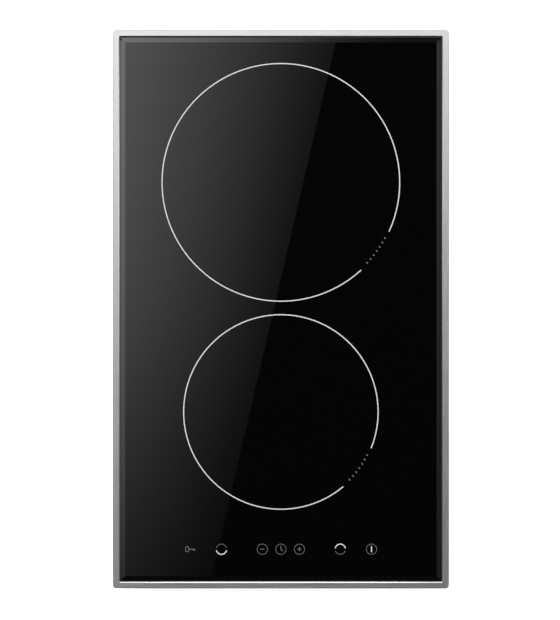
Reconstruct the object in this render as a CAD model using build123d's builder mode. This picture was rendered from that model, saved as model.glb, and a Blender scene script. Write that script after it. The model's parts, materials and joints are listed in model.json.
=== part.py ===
"""Two-zone built-in induction cooktop, 310 mm wide and 515 mm deep.

Frame: origin at the middle of the footprint, on the plane that the pressed feet stand on.
+X is to the user's right, +Y away from the user, +Z up. Units are millimetres.
"""

import os
from collections import namedtuple
from math import cos, degrees, radians, sin

from build123d import *

os.makedirs("parts", exist_ok=True)

# --- trim frame and glass: plan ---
FRAME_W, FRAME_D = 310.0, 515.0  # steel trim frame, outside
FRAME_CORNER_R, OPEN_CORNER_R = 3.0, 0.8
RAIL_W = 6.1  # visible width of each rail, its inner chamfer included
RAIL_CHAMFER_W, RAIL_CHAMFER_H = 0.8, 0.5
RAIL_EDGE_R = 0.6
SHELF_CORNER_R = 2.0
GLASS_GAP = 0.8  # joint between frame and glass
GLASS_CORNER_R = 1.2
BEVEL_W, BEVEL_H = 4.5, 1.2  # ground bevel round the glass
SEALANT_W = 12.0  # bed of sealant under the glass edge
SEALANT_DROP = 0.4  # from the bevel's lower edge down to the sealant's lip
GASKET_INSET, GASKET_W, GASKET_CORNER_R = 2.5, 9.0, 2.0

# --- heights ---
FLOOR_Z = 2.0  # underside of the pan's floor; the feet reach z = 0
WORKTOP_Z = 50.0  # worktop surface, where the gasket rests
SKIRT_Z = 50.3
SHELF_Z = 51.3
GLASS_Z, GLASS_T = 53.0, 4.0
FRAME_TOP_Z = 57.5
PAN_TOP_Z = 52.0
CARRIER_Z = 36.0  # underside of the coil carrier plate

# --- sheet thicknesses ---
PAN_T = 0.8
FRAME_T = 1.2
CARRIER_T = 1.2
PRINT_T = 0.15  # depth of the enamel inlaid in the glass

# --- cooking zones: centre, radius of the printed ring, radius of the coil, turns of litz ---
ZONES = {
    "rear": dict(y=117.0, ring_r=109.6, coil_r=106.0, turns=21),
    "front": dict(y=-94.7, ring_r=89.7, coil_r=88.0, turns=16),
}
RING_LINE_W = 1.0
RING_GAP_LENGTH = 45.0  # arc left open in each ring for a row of ticks
RING_GAP_ANGLE = -36.0  # direction of that gap from the zone's centre
TICKS = 7
TICK_ANGLE = -35.6  # direction of the middle tick
TICK_SPAN_SHARE = 0.63  # share of the gap that the row of ticks takes
TICK_INSET = 0.8  # the ticks sit this far inside the ring's line
TICK_L, TICK_W = 1.7, 1.0

# --- touch controls ---
KEY_ROW_Y = -221.3
KEY_X = dict(lock=-83.6, front=-54.8, minus=-17.1, timer=0.0, plus=17.1, rear=54.8, power=83.6)
KEY_LINE_R, KEY_LINE_W = 4.75, 0.42
BOLD_LINE_W, BOLD_ARC, FINE_ARC = 0.95, 148.0, 146.0
SIGN_L, SIGN_W = 3.6, 0.6  # plus and minus signs
POWER_BAR_L = 5.6
HAND_W, LONG_HAND_L, SHORT_HAND_L, SHORT_HAND_TURN = 0.6, 3.0, 2.4, -40.0  # clock hands
KEY_BOW_X, KEY_BOW_RX, KEY_BOW_RY = -2.8, 1.9, 2.7  # key of the lock symbol
KEY_STEM_X, KEY_STEM_L, KEY_TOOTH_L = 1.75, 5.7, 1.3
KEY_TEETH_X = (2.6, 4.1)

# --- screws ---
THREAD_PLAY = 0.05  # radial gap that stands for a thread's clearance
HOLE_PLAY = 0.2  # radial gap of a clearance hole
SCREW_R, SCREW_HEAD_R, SCREW_HEAD_H = 1.5, 2.9, 1.9  # M3
FIXING_R, FIXING_HEAD_R, FIXING_HEAD_H = 2.0, 3.9, 2.0  # M4
CROSS_L, CROSS_W, CROSS_DEPTH = 4.4, 0.8, 1.0  # cross recess in an M4 head
SMALL_CROSS_L, SMALL_CROSS_W = 4.0, 0.7  # cross recess in an M3 head
INNER_SCREW_L, BOARD_SCREW_L = 6.0, 5.0

# --- pan ---
PAN_W, PAN_D = 262.0, 466.0  # sheet-metal pan below the worktop
PAN_CORNER_R, PAN_BOTTOM_R = 6.0, 2.5
FOOT_R = 8.0
FOOT_PLACES = [(x, y) for x in (-105, 105) for y in (-214, 0, 214)]
BEADS, BEAD_PITCH, BEAD_Y = 3, 60.0, -100.0
BEAD_L, BEAD_W, BEAD_H = 120.0, 9.0, 0.9
VENT_W, VENT_PITCH = 3.4, 8.0
FRONT_VENTS, REAR_VENTS, SIDE_VENTS = 16, 7, 14
END_VENT_L, END_VENT_Z, REAR_VENT_X = 20.0, 22.0, -46.0
SIDE_VENT_L, SIDE_VENT_Z, SIDE_VENT_Y = 16.0, 20.0, -60.0
GRILLE_OUTER = dict(r=20.5, count=20, length=15.0)
GRILLE_INNER = dict(r=7.0, count=6, length=8.0)
RATING_X, RATING_Y, RATING_W, RATING_D, RATING_T = 50.0, 150.0, 62.0, 34.0, 0.2

# --- frame tabs: point on the pan's wall and outward direction ---
TAB_W, TAB_Z, TAB_HOLE_Z = 18.0, 40.0, 45.0
TAB_GAP = 0.2  # between a frame tab and the pan's wall
TAB_PLACES = [(PAN_W / 2, y, 0) for y in (-150, 150)]
TAB_PLACES += [(-PAN_W / 2, y, 180) for y in (-150, 150)]
TAB_PLACES += [(x, PAN_D / 2, 90) for x in (-115, 115)]
TAB_PLACES += [(x, -PAN_D / 2, 270) for x in (-115, 115)]
TAB_SCREW_L = 5.0  # length inside the pan

# --- swivel clamps: side of the cooktop, +1 or -1 along X and Y ---
CLAMPS = {
    "rear_left": (-1, 1),
    "rear_right": (1, 1),
    "front_left": (-1, -1),
    "front_right": (1, -1),
}
CLAMP_PIVOT_X = 90.0
CLAMP_OFFSET = 6.0  # from the pan's wall to the clamp screw's axis
CLAMP_REACH, CLAMP_ARM_W, CLAMP_ARM_T = 17.0, 8.0, 3.0
CLAMP_ARM_TOP, CLAMP_BOSS_H, CLAMP_TIP_R = 10.0, 5.8, 2.0
CLAMP_TOOTH_BACK = (2.5, 6.0)  # from the tip to each gripping tooth
CLAMP_TOOTH_W, CLAMP_TOOTH_L, CLAMP_TOOTH_H = 1.2, 6.0, 0.8
CLAMP_EAR_LOW, CLAMP_EAR_HIGH, CLAMP_EAR_T = 2.6, 38.0, 1.4
CLAMP_EAR_W, CLAMP_EAR_L = 12.0, 11.0
CLAMP_PLATE_W, CLAMP_PLATE_T = 18.0, 1.6
CLAMP_HEAD_GAP, CLAMP_SCREW_RISE = 0.1, 2.0

# --- coil carrier ---
PILLAR_R, PILLAR_THREAD_L = 4.0, 10.0
PILLAR_PLACES = [(x, y) for x in (-122, 122) for y in (-200, 84, 223)]
CARRIER_GAP, CARRIER_CORNER_R = 2.0, 5.0
CARRIER_HUB_R = 12.0
CARRIER_WINDOWS, WINDOW_L, WINDOW_W, WINDOW_SHARE = 6, 26.0, 8.0, 0.6
LEAD_SLOT_W, LEAD_SLOT_D = 8.0, 10.0
CABLE_SLOT_Y, CABLE_SLOT_W, CABLE_SLOT_D = -190.0, 18.0, 6.0

# --- coils ---
WIRE_R, WIRE_PITCH, WINDING_IN_R = 1.7, 3.7, 26.0
MICA_T = 0.6
FORMER_T, FORMER_RIM_W, FORMER_HUB_R = 1.5, 10.0, 24.0
BARS, BAR_TURN = 8, 22.5
BAR_SHORTER, BAR_OUTWARD = 40.0, 8.0  # the bars' length and middle against the coil's radius
FERRITE_H, FERRITE_W, CHEEK_T, BAR_END_PLAY = 4.0, 10.0, 1.5, 0.5
SPOKE_W = FERRITE_W + 4
SENSOR_R, SENSOR_STEP, SENSOR_BORE_R = 9.0, 2.5, 3.5
SENSOR_DROP, SENSOR_ROOF = 3.0, 4.0
FOOT_Z, FORMER_FOOT_R, FORMER_FOOT_INSET = 41.0, 4.0, 5.0  # the former's feet, on the springs
SPRING_T, SPRING_W = 0.5, 8.0
SPRING_END_X, SPRING_HEEL_X, SPRING_CROWN_X = 13.0, 9.0, 4.0
SPRING_ANGLES = (45, 135, 225, 315)
LEAD_Z = 33.8  # level of the leads' runs under the carrier
INNER_LEAD_RUN, OUTER_LEAD_RUN = 5.5, 9.0  # straight run of each lead before it turns down
LEAD_BEND_R = 3.0
LEAD_PAIR = (-2.7, 2.7)  # offsets of the two leads in their socket

# --- fan, under the rear zone's left side ---
FAN_X, FAN_Y = -71.0, 165.0
FAN_CASE_R, FAN_CASE_T = 50.0, 1.5
FAN_CASE_Z, FAN_CASE_TOP = 4.0, 31.0
FAN_DUCT_W, FAN_DUCT_END, FAN_DUCT_SET_BACK = 48.0, 108.0, 1.0
FAN_INLET_R = 30.0
FAN_LUG_R, FAN_SCREW_OFFSET = 4.0, 37.0
FAN_SCREWS = [
    (FAN_X - FAN_SCREW_OFFSET, FAN_Y + FAN_SCREW_OFFSET),
    (FAN_X + FAN_SCREW_OFFSET, FAN_Y + FAN_SCREW_OFFSET),
    (FAN_X + FAN_SCREW_OFFSET, FAN_Y - FAN_SCREW_OFFSET),
]
WHEEL_R, WHEEL_Z, WHEEL_TOP, WHEEL_DISC_T = 37.0, 8.0, 28.0, 1.5
WHEEL_BLADES, BLADE_L, BLADE_T, BLADE_TURN, BLADE_INSET = 30, 8.5, 0.9, 28.0, 5.5
WHEEL_RING_W = 2.0
HUB_R, HUB_Z, HUB_T = 15.0, 12.0, 1.2
MAGNET_T, MAGNET_DROP = 1.8, 3.0
SHAFT_R, SHAFT_PLAY, SHAFT_TOP = 1.5, 0.05, 29.0
BEARING_R, BEARING_Z, BEARING_TOP = 3.0, 15.0, 28.0
STATOR_R, STATOR_Z, STATOR_H = 11.3, 15.5, 9.0
STATOR_CORE_R, STATOR_POLES = 6.0, 4
POLE_MID, POLE_L, POLE_W = 7.0, 6.0, 4.0
SHOE_MID, SHOE_L, SHOE_W = 9.8, 2.0, 11.0
SLEEVE_R, FLANGE_R, FLANGE_Z = 4.4, 12.0, 29.4

# --- power board ---
BOARD_W, BOARD_Y0, BOARD_Y1 = 236.0, -162.0, 58.0
BOARD_Z, BOARD_T = 8.0, 1.6
BOARD_TOP = BOARD_Z + BOARD_T
BOARD_SCREW_INSET_X, BOARD_SCREW_INSET_Y = 6.0, 8.0
TRAY_Z, TRAY_TOP, TRAY_T, TRAY_GAP, TRAY_POST_R = 4.0, 10.0, 1.4, 0.6, 4.0
SINK_X0, SINK_X1, SINK_Y0, SINK_Y1 = -104.0, -56.0, -96.0, 48.0
SINK_TOP, SINK_BASE_T, SINK_WALL_T, SINK_FINS, FIN_T = 32.0, 4.0, 4.0, 9, 1.4
TRANSISTOR_Y = (-80, -50, -10, 20)
TRANSISTOR_W, TRANSISTOR_T, TRANSISTOR_H, TRANSISTOR_LEGS_H = 16.0, 5.0, 17.0, 4.0
LEG_PITCH, LEG_W, LEG_T, LEG_SET_BACK = 5.4, 1.4, 0.8, 2.0
CAN_R, CAN_H, CAN_BEAD_Z, CAN_BEAD_W, CAN_BEAD_DEPTH = 8.0, 20.0, 3.0, 1.0, 0.7
CAN_PLACES = [(90, -110), (90, -85), (20, -128)]
CHOKE_X, CHOKE_Y, CHOKE_R, CHOKE_W, CHOKE_H = 84.0, 18.0, 18.0, 7.0, 10.0
CHOKE_WIRE, CHOKE_PLAY, CHOKE_CORNER_R = 1.7, 0.15, 1.6
CHOKE_HALF_TURNS, CHOKE_TURN_PITCH = 9, 14.0  # turns on each half of the core, degrees apart
CHOKE_Z = BOARD_TOP + CHOKE_WIRE
TRANSFORMER_X, TRANSFORMER_Y = 52.0, -90.0
TRANSFORMER_CORE = dict(w=26.0, d=12.0, z=1.0, top=21.0)
TRANSFORMER_COIL = dict(w=16.0, d=22.0, z=5.0, top=17.0)
TRANSFORMER_BASE = dict(w=22.0, d=18.0, z=0.0, top=3.0)

BoardPart = namedtuple("BoardPart", "x y w d h")  # middle, width, depth and height on the board
RELAY_AND_FUSE = [
    BoardPart(x=76, y=-48, w=20, d=16, h=15),
    BoardPart(x=100, y=-48, w=12, d=28, h=10),
    BoardPart(x=98, y=-8, w=16, d=5, h=16),
]
CHIPS = [
    BoardPart(x=10, y=-70, w=10, d=10, h=2),
    BoardPart(x=22, y=-100, w=7, d=14, h=2),
    BoardPart(x=-30, y=-115, w=12, d=12, h=2),
    BoardPart(x=-60, y=-125, w=16, d=7, h=3),
]
CHIPS += [BoardPart(x=x, y=-146, w=3, d=5, h=2) for x in range(-90, -20, 8)]
FILM_CAPS = [BoardPart(x=-24, y=y, w=32, d=18, h=20) for y in (6, 30)]
FILM_CAPS += [BoardPart(x=-24, y=y, w=32, d=14, h=19) for y in (-80, -60)]
FILM_CAPS += [BoardPart(x=60, y=-130, w=26, d=11, h=18)]
SOCKETS = {
    "mains": BoardPart(x=32, y=44, w=30, d=10, h=12),
    "control": BoardPart(x=0, y=-150, w=20, d=8, h=9),
    "rear_coil": BoardPart(x=24, y=-20, w=12, d=12, h=10),
    "front_coil": BoardPart(x=46, y=-20, w=12, d=12, h=10),
    "sensors": BoardPart(x=4.5, y=-45, w=10, d=8, h=8),
    "fan": BoardPart(x=-8, y=50, w=8, d=6, h=8),
}
SOCKET_FLOOR, SOCKET_WALL = 2.0, 1.0

# --- touch control unit ---
CONTROL_Y0, CONTROL_Y1 = -228.5, -199.5
CONTROL_Z, CONTROL_HALF_W = 48.0, 101.0
BRACKET_RIM, BRACKET_LEDGE, BRACKET_RIM_H, BRACKET_RIB_T, BRACKET_PLAY = 2.0, 1.0, 1.6, 2.0, 0.1
BRACKET_RIB_X = (-66, -33, 33, 66)
RIBBON_NOTCH_HALF_W, RIBBON_NOTCH_H = 9.0, 4.0
TOUCH_PAD_R = 4.5
DIGIT_X, DIGIT_W, DIGIT_D, DIGIT_GAP = 36.0, 10.0, 13.0, 0.2
TIMER_DIGIT_W, TIMER_DIGIT_D, TIMER_DIGIT_Y = 20.0, 12.0, 13.0
PROCESSOR_X, PROCESSOR_Y, PROCESSOR_W, PROCESSOR_H = -27.0, -214.0, 10.0, 1.8
RESISTOR_X, RESISTOR_W, RESISTOR_D, RESISTOR_H = (-87.5, -77.5, 77.5, 87.5), 5.0, 4.0, 1.5
BUZZER_X, BUZZER_R, BUZZER_H, BUZZER_HOLE_R, BUZZER_HOLE_H = 50.0, 6.0, 6.0, 1.2, 2.0
RIBBON_W, RIBBON_T, RIBBON_BEND_R = 14.0, 0.9, 2.0
RIBBON_OVERLAP, RIBBON_RUN_Z = 6.0, 12.0  # under the control board; above the power board

# --- terminal box in the rear wall ---
TERMINAL_X0, TERMINAL_X1, TERMINAL_Y0 = -6.0, 73.0, 192.5
TERMINAL_Z0, TERMINAL_Z1, TERMINAL_T = 6.5, 34.0, 1.5
BAY_X0, BAY_X1, BAY_Z0, BAY_Z1 = -4.0, 44.0, 8.0, 32.5
CORD_CHAMBER_Y1 = 222.0
CORD_DOOR = dict(y0=203.0, y1=220.0, z0=12.0, z1=29.0)  # between the bay and the cord chamber
WIRE_DOOR = dict(inset=3.0, z0=14.0, z1=24.0)  # in the box's inner wall
EAR_T, EAR_GAP, EAR_PLAY = 1.8, 0.7, 0.2
EAR_Z0, EAR_Z1, EAR_R = 31.0, 39.2, 2.7
COVER_HINGE_Y, COVER_HINGE_Z = 236.0, 36.5
COVER_T, COVER_GAP, COVER_LAP, COVER_DROP, COVER_BARREL_R = 2.0, 0.6, 0.5, 1.5, 2.5
COVER_PIN_R, COVER_PIN_PLAY = 1.5, 0.06
COVER_LIP_X, COVER_LIP_W, COVER_LIP_L, COVER_LIP_H = 20.0, 20.0, 2.4, 1.4
COVER_RIB_X, COVER_RIB_T, COVER_RIB_L, COVER_RIB_TOP = (0, 40), 1.2, 0.8, 32.0
CABLE_X, CABLE_Z, CABLE_R = 59.0, 20.0, 5.5
COLLAR_HALF_W, COLLAR_HALF_H, COLLAR_PLAY = 11.8, 10.0, 0.1
COLLAR_LIP, CRADLE_L, CRADLE_DROP, CABLE_BORE_L = 1.5, 10.5, 1.5, 28.0
CLAMP_STRAP_TOP = CABLE_Z + 9.0
CORD_SCREW_X, CORD_SCREW_OUT = (CABLE_X - 8.4, CABLE_X + 8.4), 6.1
CORD_SCREW_L = 16.5
STRAP_INSET, STRAP_Y0, STRAP_Y1, STRAP_RISE, STRAP_R = 0.3, 1.9, 10.3, 1.8, 2.0
BLOCK_X0, BLOCK_X1, BLOCK_Y0, BLOCK_Y1, BLOCK_Z0, BLOCK_Z1 = -1.0, 41.0, 196.0, 214.0, 10.0, 30.0
POLES, POLE_X0, POLE_PITCH = 5, 3.6, 8.2
WIRE_MOUTH = dict(half_w=2.6, y0=204.0, z0=12.0, z1=18.0)
POLE_SCREW_Z, POLE_WELL_R, POLE_WELL_L, POLE_SCREW_R, POLE_SCREW_L = 24.5, 2.6, 6.5, 2.3, 4.0
POLE_SLOT_W, POLE_SLOT_DEPTH = 0.8, 0.8

# --- wiring ---
SUPPLY_WIRE_R, SENSOR_WIRE_R, FAN_WIRE_R = 1.4, 0.8, 1.0
SUPPLY_BEND_R = 4.0
SUPPLY_FIRST_POLE, SUPPLY_WIRES, SUPPLY_SOCKET_PITCH = 1, 3, 9.0
SUPPLY_RUN = dict(exit_z=19.0, out_y=180.0, low_y=150.0, low_z=16.0, line_y=112.0)
SUPPLY_RUN |= dict(rise_y=72.0, over_y=62.0, over_z=26.0, top_z=28.0)
SENSOR_PAIR = (-2.0, 2.0)

# --- derived values ---
GLASS_TOP_Z = GLASS_Z + GLASS_T
SHELF_TOP_Z = SHELF_Z + FRAME_T
OPEN_W, OPEN_D = FRAME_W - 2 * RAIL_W, FRAME_D - 2 * RAIL_W
GLASS_W, GLASS_D = OPEN_W - 2 * GLASS_GAP, OPEN_D - 2 * GLASS_GAP
PAN_FLOOR_TOP = FLOOR_Z + PAN_T
CARRIER_TOP = CARRIER_Z + CARRIER_T
SHELF_IN_X = PAN_W / 2 + TAB_GAP + FRAME_T
SHELF_IN_Y = PAN_D / 2 + TAB_GAP + FRAME_T
WALL_Y = PAN_D / 2  # outer face of the rear wall
WALL_IN_Y = WALL_Y - PAN_T
WINDING_Z = GLASS_Z - MICA_T - WIRE_R  # height of the litz's centre line
FORMER_TOP = WINDING_Z - WIRE_R
FORMER_Z = FORMER_TOP - FORMER_T
SENSOR_Z = FORMER_Z - SENSOR_DROP
BOARD_MID_Y = (BOARD_Y0 + BOARD_Y1) / 2
BOARD_D = BOARD_Y1 - BOARD_Y0
BOARD_SCREWS = [
    (x, y)
    for x in (-BOARD_W / 2 + BOARD_SCREW_INSET_X, BOARD_W / 2 - BOARD_SCREW_INSET_X)
    for y in (BOARD_Y0 + BOARD_SCREW_INSET_Y, BOARD_Y1 - BOARD_SCREW_INSET_Y)
]
CORD_SCREW_Y = WALL_Y + CORD_SCREW_OUT
EAR_X = (BAY_X0 - EAR_GAP - EAR_T, BAY_X1 + EAR_GAP)
ON_BOARD = (Align.CENTER, Align.CENTER, Align.MIN)


def upright(x, y, z, angle):
    """Plane through a point whose x axis points outward at the angle and whose y axis is up."""
    return Plane(Location((x, y, z), (0, 0, angle)) * Location((0, 0, 0), (90, 0, 0)))


def facing(x, y, z, angle):
    """Plane through a point that faces outward at the angle."""
    return Plane(Location((x, y, z), (0, 0, angle)) * Location((0, 0, 0), (0, 90, 0)))


def wire(points, r, bends):
    """Sweeps a round wire along a path of straight runs joined by bends, in the open part."""
    with BuildLine() as run:
        FilletPolyline(*points, radius=bends)
    with BuildSketch(Plane(origin=run.line @ 0, z_dir=run.line % 0)) as section:
        Circle(r)
    sweep(section.sketch, path=run.line)


def save(builder, name):
    """Labels the finished piece and writes its STEP file."""
    builder.part.label = name
    export_step(builder.part, f"parts/{name}.step")


def slab(width, depth, corner, z0, z1, mode=Mode.ADD):
    """A rounded rectangular plate between two heights, centred on the origin, in the open part."""
    with BuildSketch(Plane.XY.offset(z0)) as outline:
        RectangleRounded(width, depth, corner)
    extrude(outline.sketch, amount=z1 - z0, mode=mode)


def block(x0, x1, y0, y1, z0, z1, mode=Mode.ADD):
    """A plain block between two corners, in the open part."""
    with Locations(((x0 + x1) / 2, (y0 + y1) / 2, (z0 + z1) / 2)):
        Box(x1 - x0, y1 - y0, z1 - z0, mode=mode)


def centred(x, y, w, d, z0, z1, mode=Mode.ADD):
    """A plain block about a point in the plan, in the open part."""
    block(x - w / 2, x + w / 2, y - d / 2, y + d / 2, z0, z1, mode=mode)


def post(x, y, r, z0, z1, mode=Mode.ADD):
    """A vertical cylinder, in the open part."""
    with Locations((x, y, (z0 + z1) / 2)):
        Cylinder(r, z1 - z0, mode=mode)


def rod_x(y, z, r, x0, x1, mode=Mode.ADD):
    """A cylinder along X, in the open part."""
    with Locations(Location(((x0 + x1) / 2, y, z), (0, 90, 0))):
        Cylinder(r, x1 - x0, mode=mode)


def rod_y(x, z, r, y0, y1, mode=Mode.ADD):
    """A cylinder along Y, in the open part."""
    with Locations(Location((x, (y0 + y1) / 2, z), (90, 0, 0))):
        Cylinder(r, y1 - y0, mode=mode)


def on_board(part, inset=0.0, floor=0.0, mode=Mode.ADD):
    """A block that stands on the power board, in the open part."""
    with Locations((part.x, part.y, BOARD_TOP + floor)):
        Box(part.w - 2 * inset, part.d - 2 * inset, part.h, align=ON_BOARD, mode=mode)


# ---------------------------------------------------------------- top: frame, glass, prints, seals


def make_trim_frame():
    """Folded stainless frame: skirt, top rail, inner wall, glass shelf and eight tabs bent down."""
    skirt_w, skirt_d = FRAME_W - 2 * FRAME_T, FRAME_D - 2 * FRAME_T
    skirt_r = FRAME_CORNER_R - FRAME_T
    wall_w, wall_d = OPEN_W + 2 * FRAME_T, OPEN_D + 2 * FRAME_T
    with BuildPart() as frame:
        slab(FRAME_W, FRAME_D, FRAME_CORNER_R, SKIRT_Z, FRAME_TOP_Z)
        top = frame.faces().sort_by(Axis.Z)[-1]
        fillet(top.edges(), radius=RAIL_EDGE_R)
        slab(OPEN_W, OPEN_D, OPEN_CORNER_R, SHELF_TOP_Z, FRAME_TOP_Z, mode=Mode.SUBTRACT)
        top = frame.faces().filter_by(Axis.Z).sort_by(Axis.Z)[-1]
        rim = top.inner_wires()[0].edges()
        chamfer(rim, length=RAIL_CHAMFER_W, length2=RAIL_CHAMFER_H, reference=top)
        slab(skirt_w, skirt_d, skirt_r, SKIRT_Z, SHELF_Z, mode=Mode.SUBTRACT)
        with BuildSketch(Plane.XY.offset(SHELF_Z)):
            RectangleRounded(skirt_w, skirt_d, skirt_r)
            RectangleRounded(wall_w, wall_d, OPEN_CORNER_R + FRAME_T, mode=Mode.SUBTRACT)
        extrude(amount=FRAME_TOP_Z - FRAME_T - SHELF_Z, mode=Mode.SUBTRACT)
        slab(2 * SHELF_IN_X, 2 * SHELF_IN_Y, SHELF_CORNER_R, SKIRT_Z, SHELF_TOP_Z, mode=Mode.SUBTRACT)
        for x, y, angle in TAB_PLACES:
            wall = Location((x, y, 0), (0, 0, angle))
            with Locations(wall * Location((TAB_GAP + FRAME_T / 2, 0, (TAB_Z + SHELF_TOP_Z) / 2))):
                Box(FRAME_T, TAB_W, SHELF_TOP_Z - TAB_Z)
            with Locations(wall * Location((TAB_GAP, 0, TAB_HOLE_Z), (0, 90, 0))):
                Cylinder(FIXING_R + HOLE_PLAY, 4 * FRAME_T, mode=Mode.SUBTRACT)
    save(frame, "trim_frame")


def arc_line(r, start, sweep_angle, width):
    """A round-ended arc line about the current location, in the open sketch."""
    SlotArc(CenterArc((0, 0), r, start, sweep_angle, mode=Mode.PRIVATE), height=width)


def ring(r, width):
    """A thin circle line about the current location, as a sketch."""
    with BuildSketch() as line:
        Circle(r + width / 2)
        Circle(r - width / 2, mode=Mode.SUBTRACT)
    return line.sketch


def zone_half_gap(zone):
    """Half of the angle that each zone ring leaves open."""
    return degrees(RING_GAP_LENGTH / 2 / zone["ring_r"])


def white_print_sketch():
    """The zone rings, the bold halves of the zone symbols and the bar of the on/off symbol."""
    bold_arcs = {"front": 270 - BOLD_ARC / 2, "rear": 90 - BOLD_ARC / 2}
    with BuildSketch(Plane.XY.offset(GLASS_TOP_Z - PRINT_T)) as sketch:
        for zone in ZONES.values():
            half_gap = zone_half_gap(zone)
            with Locations((0, zone["y"])):
                arc_line(zone["ring_r"], RING_GAP_ANGLE + half_gap, 360 - 2 * half_gap, RING_LINE_W)
        for kind, start in bold_arcs.items():
            with Locations((KEY_X[kind], KEY_ROW_Y)):
                arc_line(KEY_LINE_R, start, BOLD_ARC, BOLD_LINE_W)
        with Locations((KEY_X["power"], KEY_ROW_Y)):
            SlotOverall(POWER_BAR_L, BOLD_LINE_W, rotation=90)
    return sketch.sketch


def clock_hands():
    """The two hands of the timer symbol, as a sketch about the origin."""
    with BuildSketch() as hands:
        with Locations((0, LONG_HAND_L / 2)):
            Rectangle(HAND_W, LONG_HAND_L)
        with Locations(Location((0, 0, 0), (0, 0, SHORT_HAND_TURN))):
            with Locations((SHORT_HAND_L / 2, 0)):
                Rectangle(SHORT_HAND_L, HAND_W)
        Circle(HAND_W / 2)
    return hands.sketch


def lock_key():
    """The key of the lock symbol, as a sketch about the origin."""
    with BuildSketch() as key:
        with Locations((KEY_BOW_X, 0)):
            Ellipse(KEY_BOW_RX, KEY_BOW_RY)
            Ellipse(KEY_BOW_RX - HAND_W, KEY_BOW_RY - HAND_W, mode=Mode.SUBTRACT)
        with Locations((KEY_STEM_X, 0)):
            Rectangle(KEY_STEM_L, HAND_W)
        for x in KEY_TEETH_X:
            with Locations((x, -KEY_TOOTH_L / 2)):
                Rectangle(HAND_W, KEY_TOOTH_L)
    return key.sketch


def fine_symbol(kind):
    """The grey lines of one control symbol, as a sketch about the origin."""
    with BuildSketch() as symbol:
        if kind in ("minus", "timer", "plus", "power"):
            add(ring(KEY_LINE_R, KEY_LINE_W))
        if kind in ("minus", "plus"):
            Rectangle(SIGN_L, SIGN_W)
        if kind == "plus":
            Rectangle(SIGN_W, SIGN_L)
        if kind == "timer":
            add(clock_hands())
        if kind == "front":
            arc_line(KEY_LINE_R, 90 - FINE_ARC / 2, FINE_ARC, KEY_LINE_W)
        if kind == "rear":
            arc_line(KEY_LINE_R, 270 - FINE_ARC / 2, FINE_ARC, KEY_LINE_W)
        if kind == "lock":
            add(lock_key())
    return symbol.sketch


def grey_print_sketch():
    """The row of ticks in each ring's gap and the fine lines of the control symbols."""
    with BuildSketch(Plane.XY.offset(GLASS_TOP_Z - PRINT_T)) as sketch:
        for zone in ZONES.values():
            reach = zone_half_gap(zone) * TICK_SPAN_SHARE
            whole = 2 * reach * TICKS / (TICKS - 1)
            with Locations((0, zone["y"])):
                with PolarLocations(zone["ring_r"] - TICK_INSET, TICKS, TICK_ANGLE - reach, whole):
                    Rectangle(TICK_L, TICK_W)
        for kind, x in KEY_X.items():
            with Locations((x, KEY_ROW_Y)):
                add(fine_symbol(kind))
    return sketch.sketch


def make_glass_and_prints():
    """Bevelled glass-ceramic plate with the enamel prints inlaid flush in its top face."""
    prints = {"white_print": white_print_sketch(), "grey_print": grey_print_sketch()}
    with BuildPart() as glass:
        centred(0, 0, GLASS_W, GLASS_D, GLASS_Z, GLASS_TOP_Z)
        top = glass.faces().sort_by(Axis.Z)[-1]
        chamfer(top.edges(), length=BEVEL_W, length2=BEVEL_H, reference=top)
        slab(GLASS_W, GLASS_D, GLASS_CORNER_R, GLASS_Z, GLASS_TOP_Z, mode=Mode.INTERSECT)
        for sketch in prints.values():
            extrude(sketch, amount=PRINT_T, mode=Mode.SUBTRACT)
    save(glass, "glass_plate")
    for name, sketch in prints.items():
        with BuildPart() as enamel:
            extrude(sketch, amount=PRINT_T)
        save(enamel, name)


def make_seals():
    """Silicone joint that holds the glass, and the foam gasket between frame and worktop."""
    lip_top = GLASS_TOP_Z - BEVEL_H - SEALANT_DROP
    bed_w, bed_d = OPEN_W - 2 * SEALANT_W, OPEN_D - 2 * SEALANT_W
    with BuildPart() as sealant:
        with BuildSketch(Plane.XY.offset(SHELF_TOP_Z)):
            RectangleRounded(OPEN_W, OPEN_D, OPEN_CORNER_R)
            RectangleRounded(bed_w, bed_d, SHELF_CORNER_R, mode=Mode.SUBTRACT)
        extrude(amount=GLASS_Z - SHELF_TOP_Z)
        with BuildSketch(Plane.XY.offset(GLASS_Z)):
            RectangleRounded(OPEN_W, OPEN_D, OPEN_CORNER_R)
            RectangleRounded(GLASS_W, GLASS_D, GLASS_CORNER_R, mode=Mode.SUBTRACT)
        extrude(amount=lip_top - GLASS_Z)
    save(sealant, "glass_sealant")

    out_w, out_d = FRAME_W - 2 * GASKET_INSET, FRAME_D - 2 * GASKET_INSET
    in_w, in_d = out_w - 2 * GASKET_W, out_d - 2 * GASKET_W
    with BuildPart() as gasket:
        with BuildSketch(Plane.XY.offset(WORKTOP_Z)):
            RectangleRounded(out_w, out_d, GASKET_CORNER_R)
            RectangleRounded(in_w, in_d, GASKET_CORNER_R, mode=Mode.SUBTRACT)
        extrude(amount=SHELF_Z - WORKTOP_Z)
    save(gasket, "worktop_gasket")


# ---------------------------------------------------------------- pan and carrier


def wall_slots(plane, count, length, z):
    """Cuts a row of upright vent slots through the wall that the plane lies on."""
    with BuildSketch(plane) as slots:
        with Locations((0, z)):
            with GridLocations(VENT_PITCH, 1, count, 1):
                SlotOverall(length, VENT_W, rotation=90)
    extrude(slots.sketch, amount=4 * PAN_T, both=True, mode=Mode.SUBTRACT)


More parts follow.
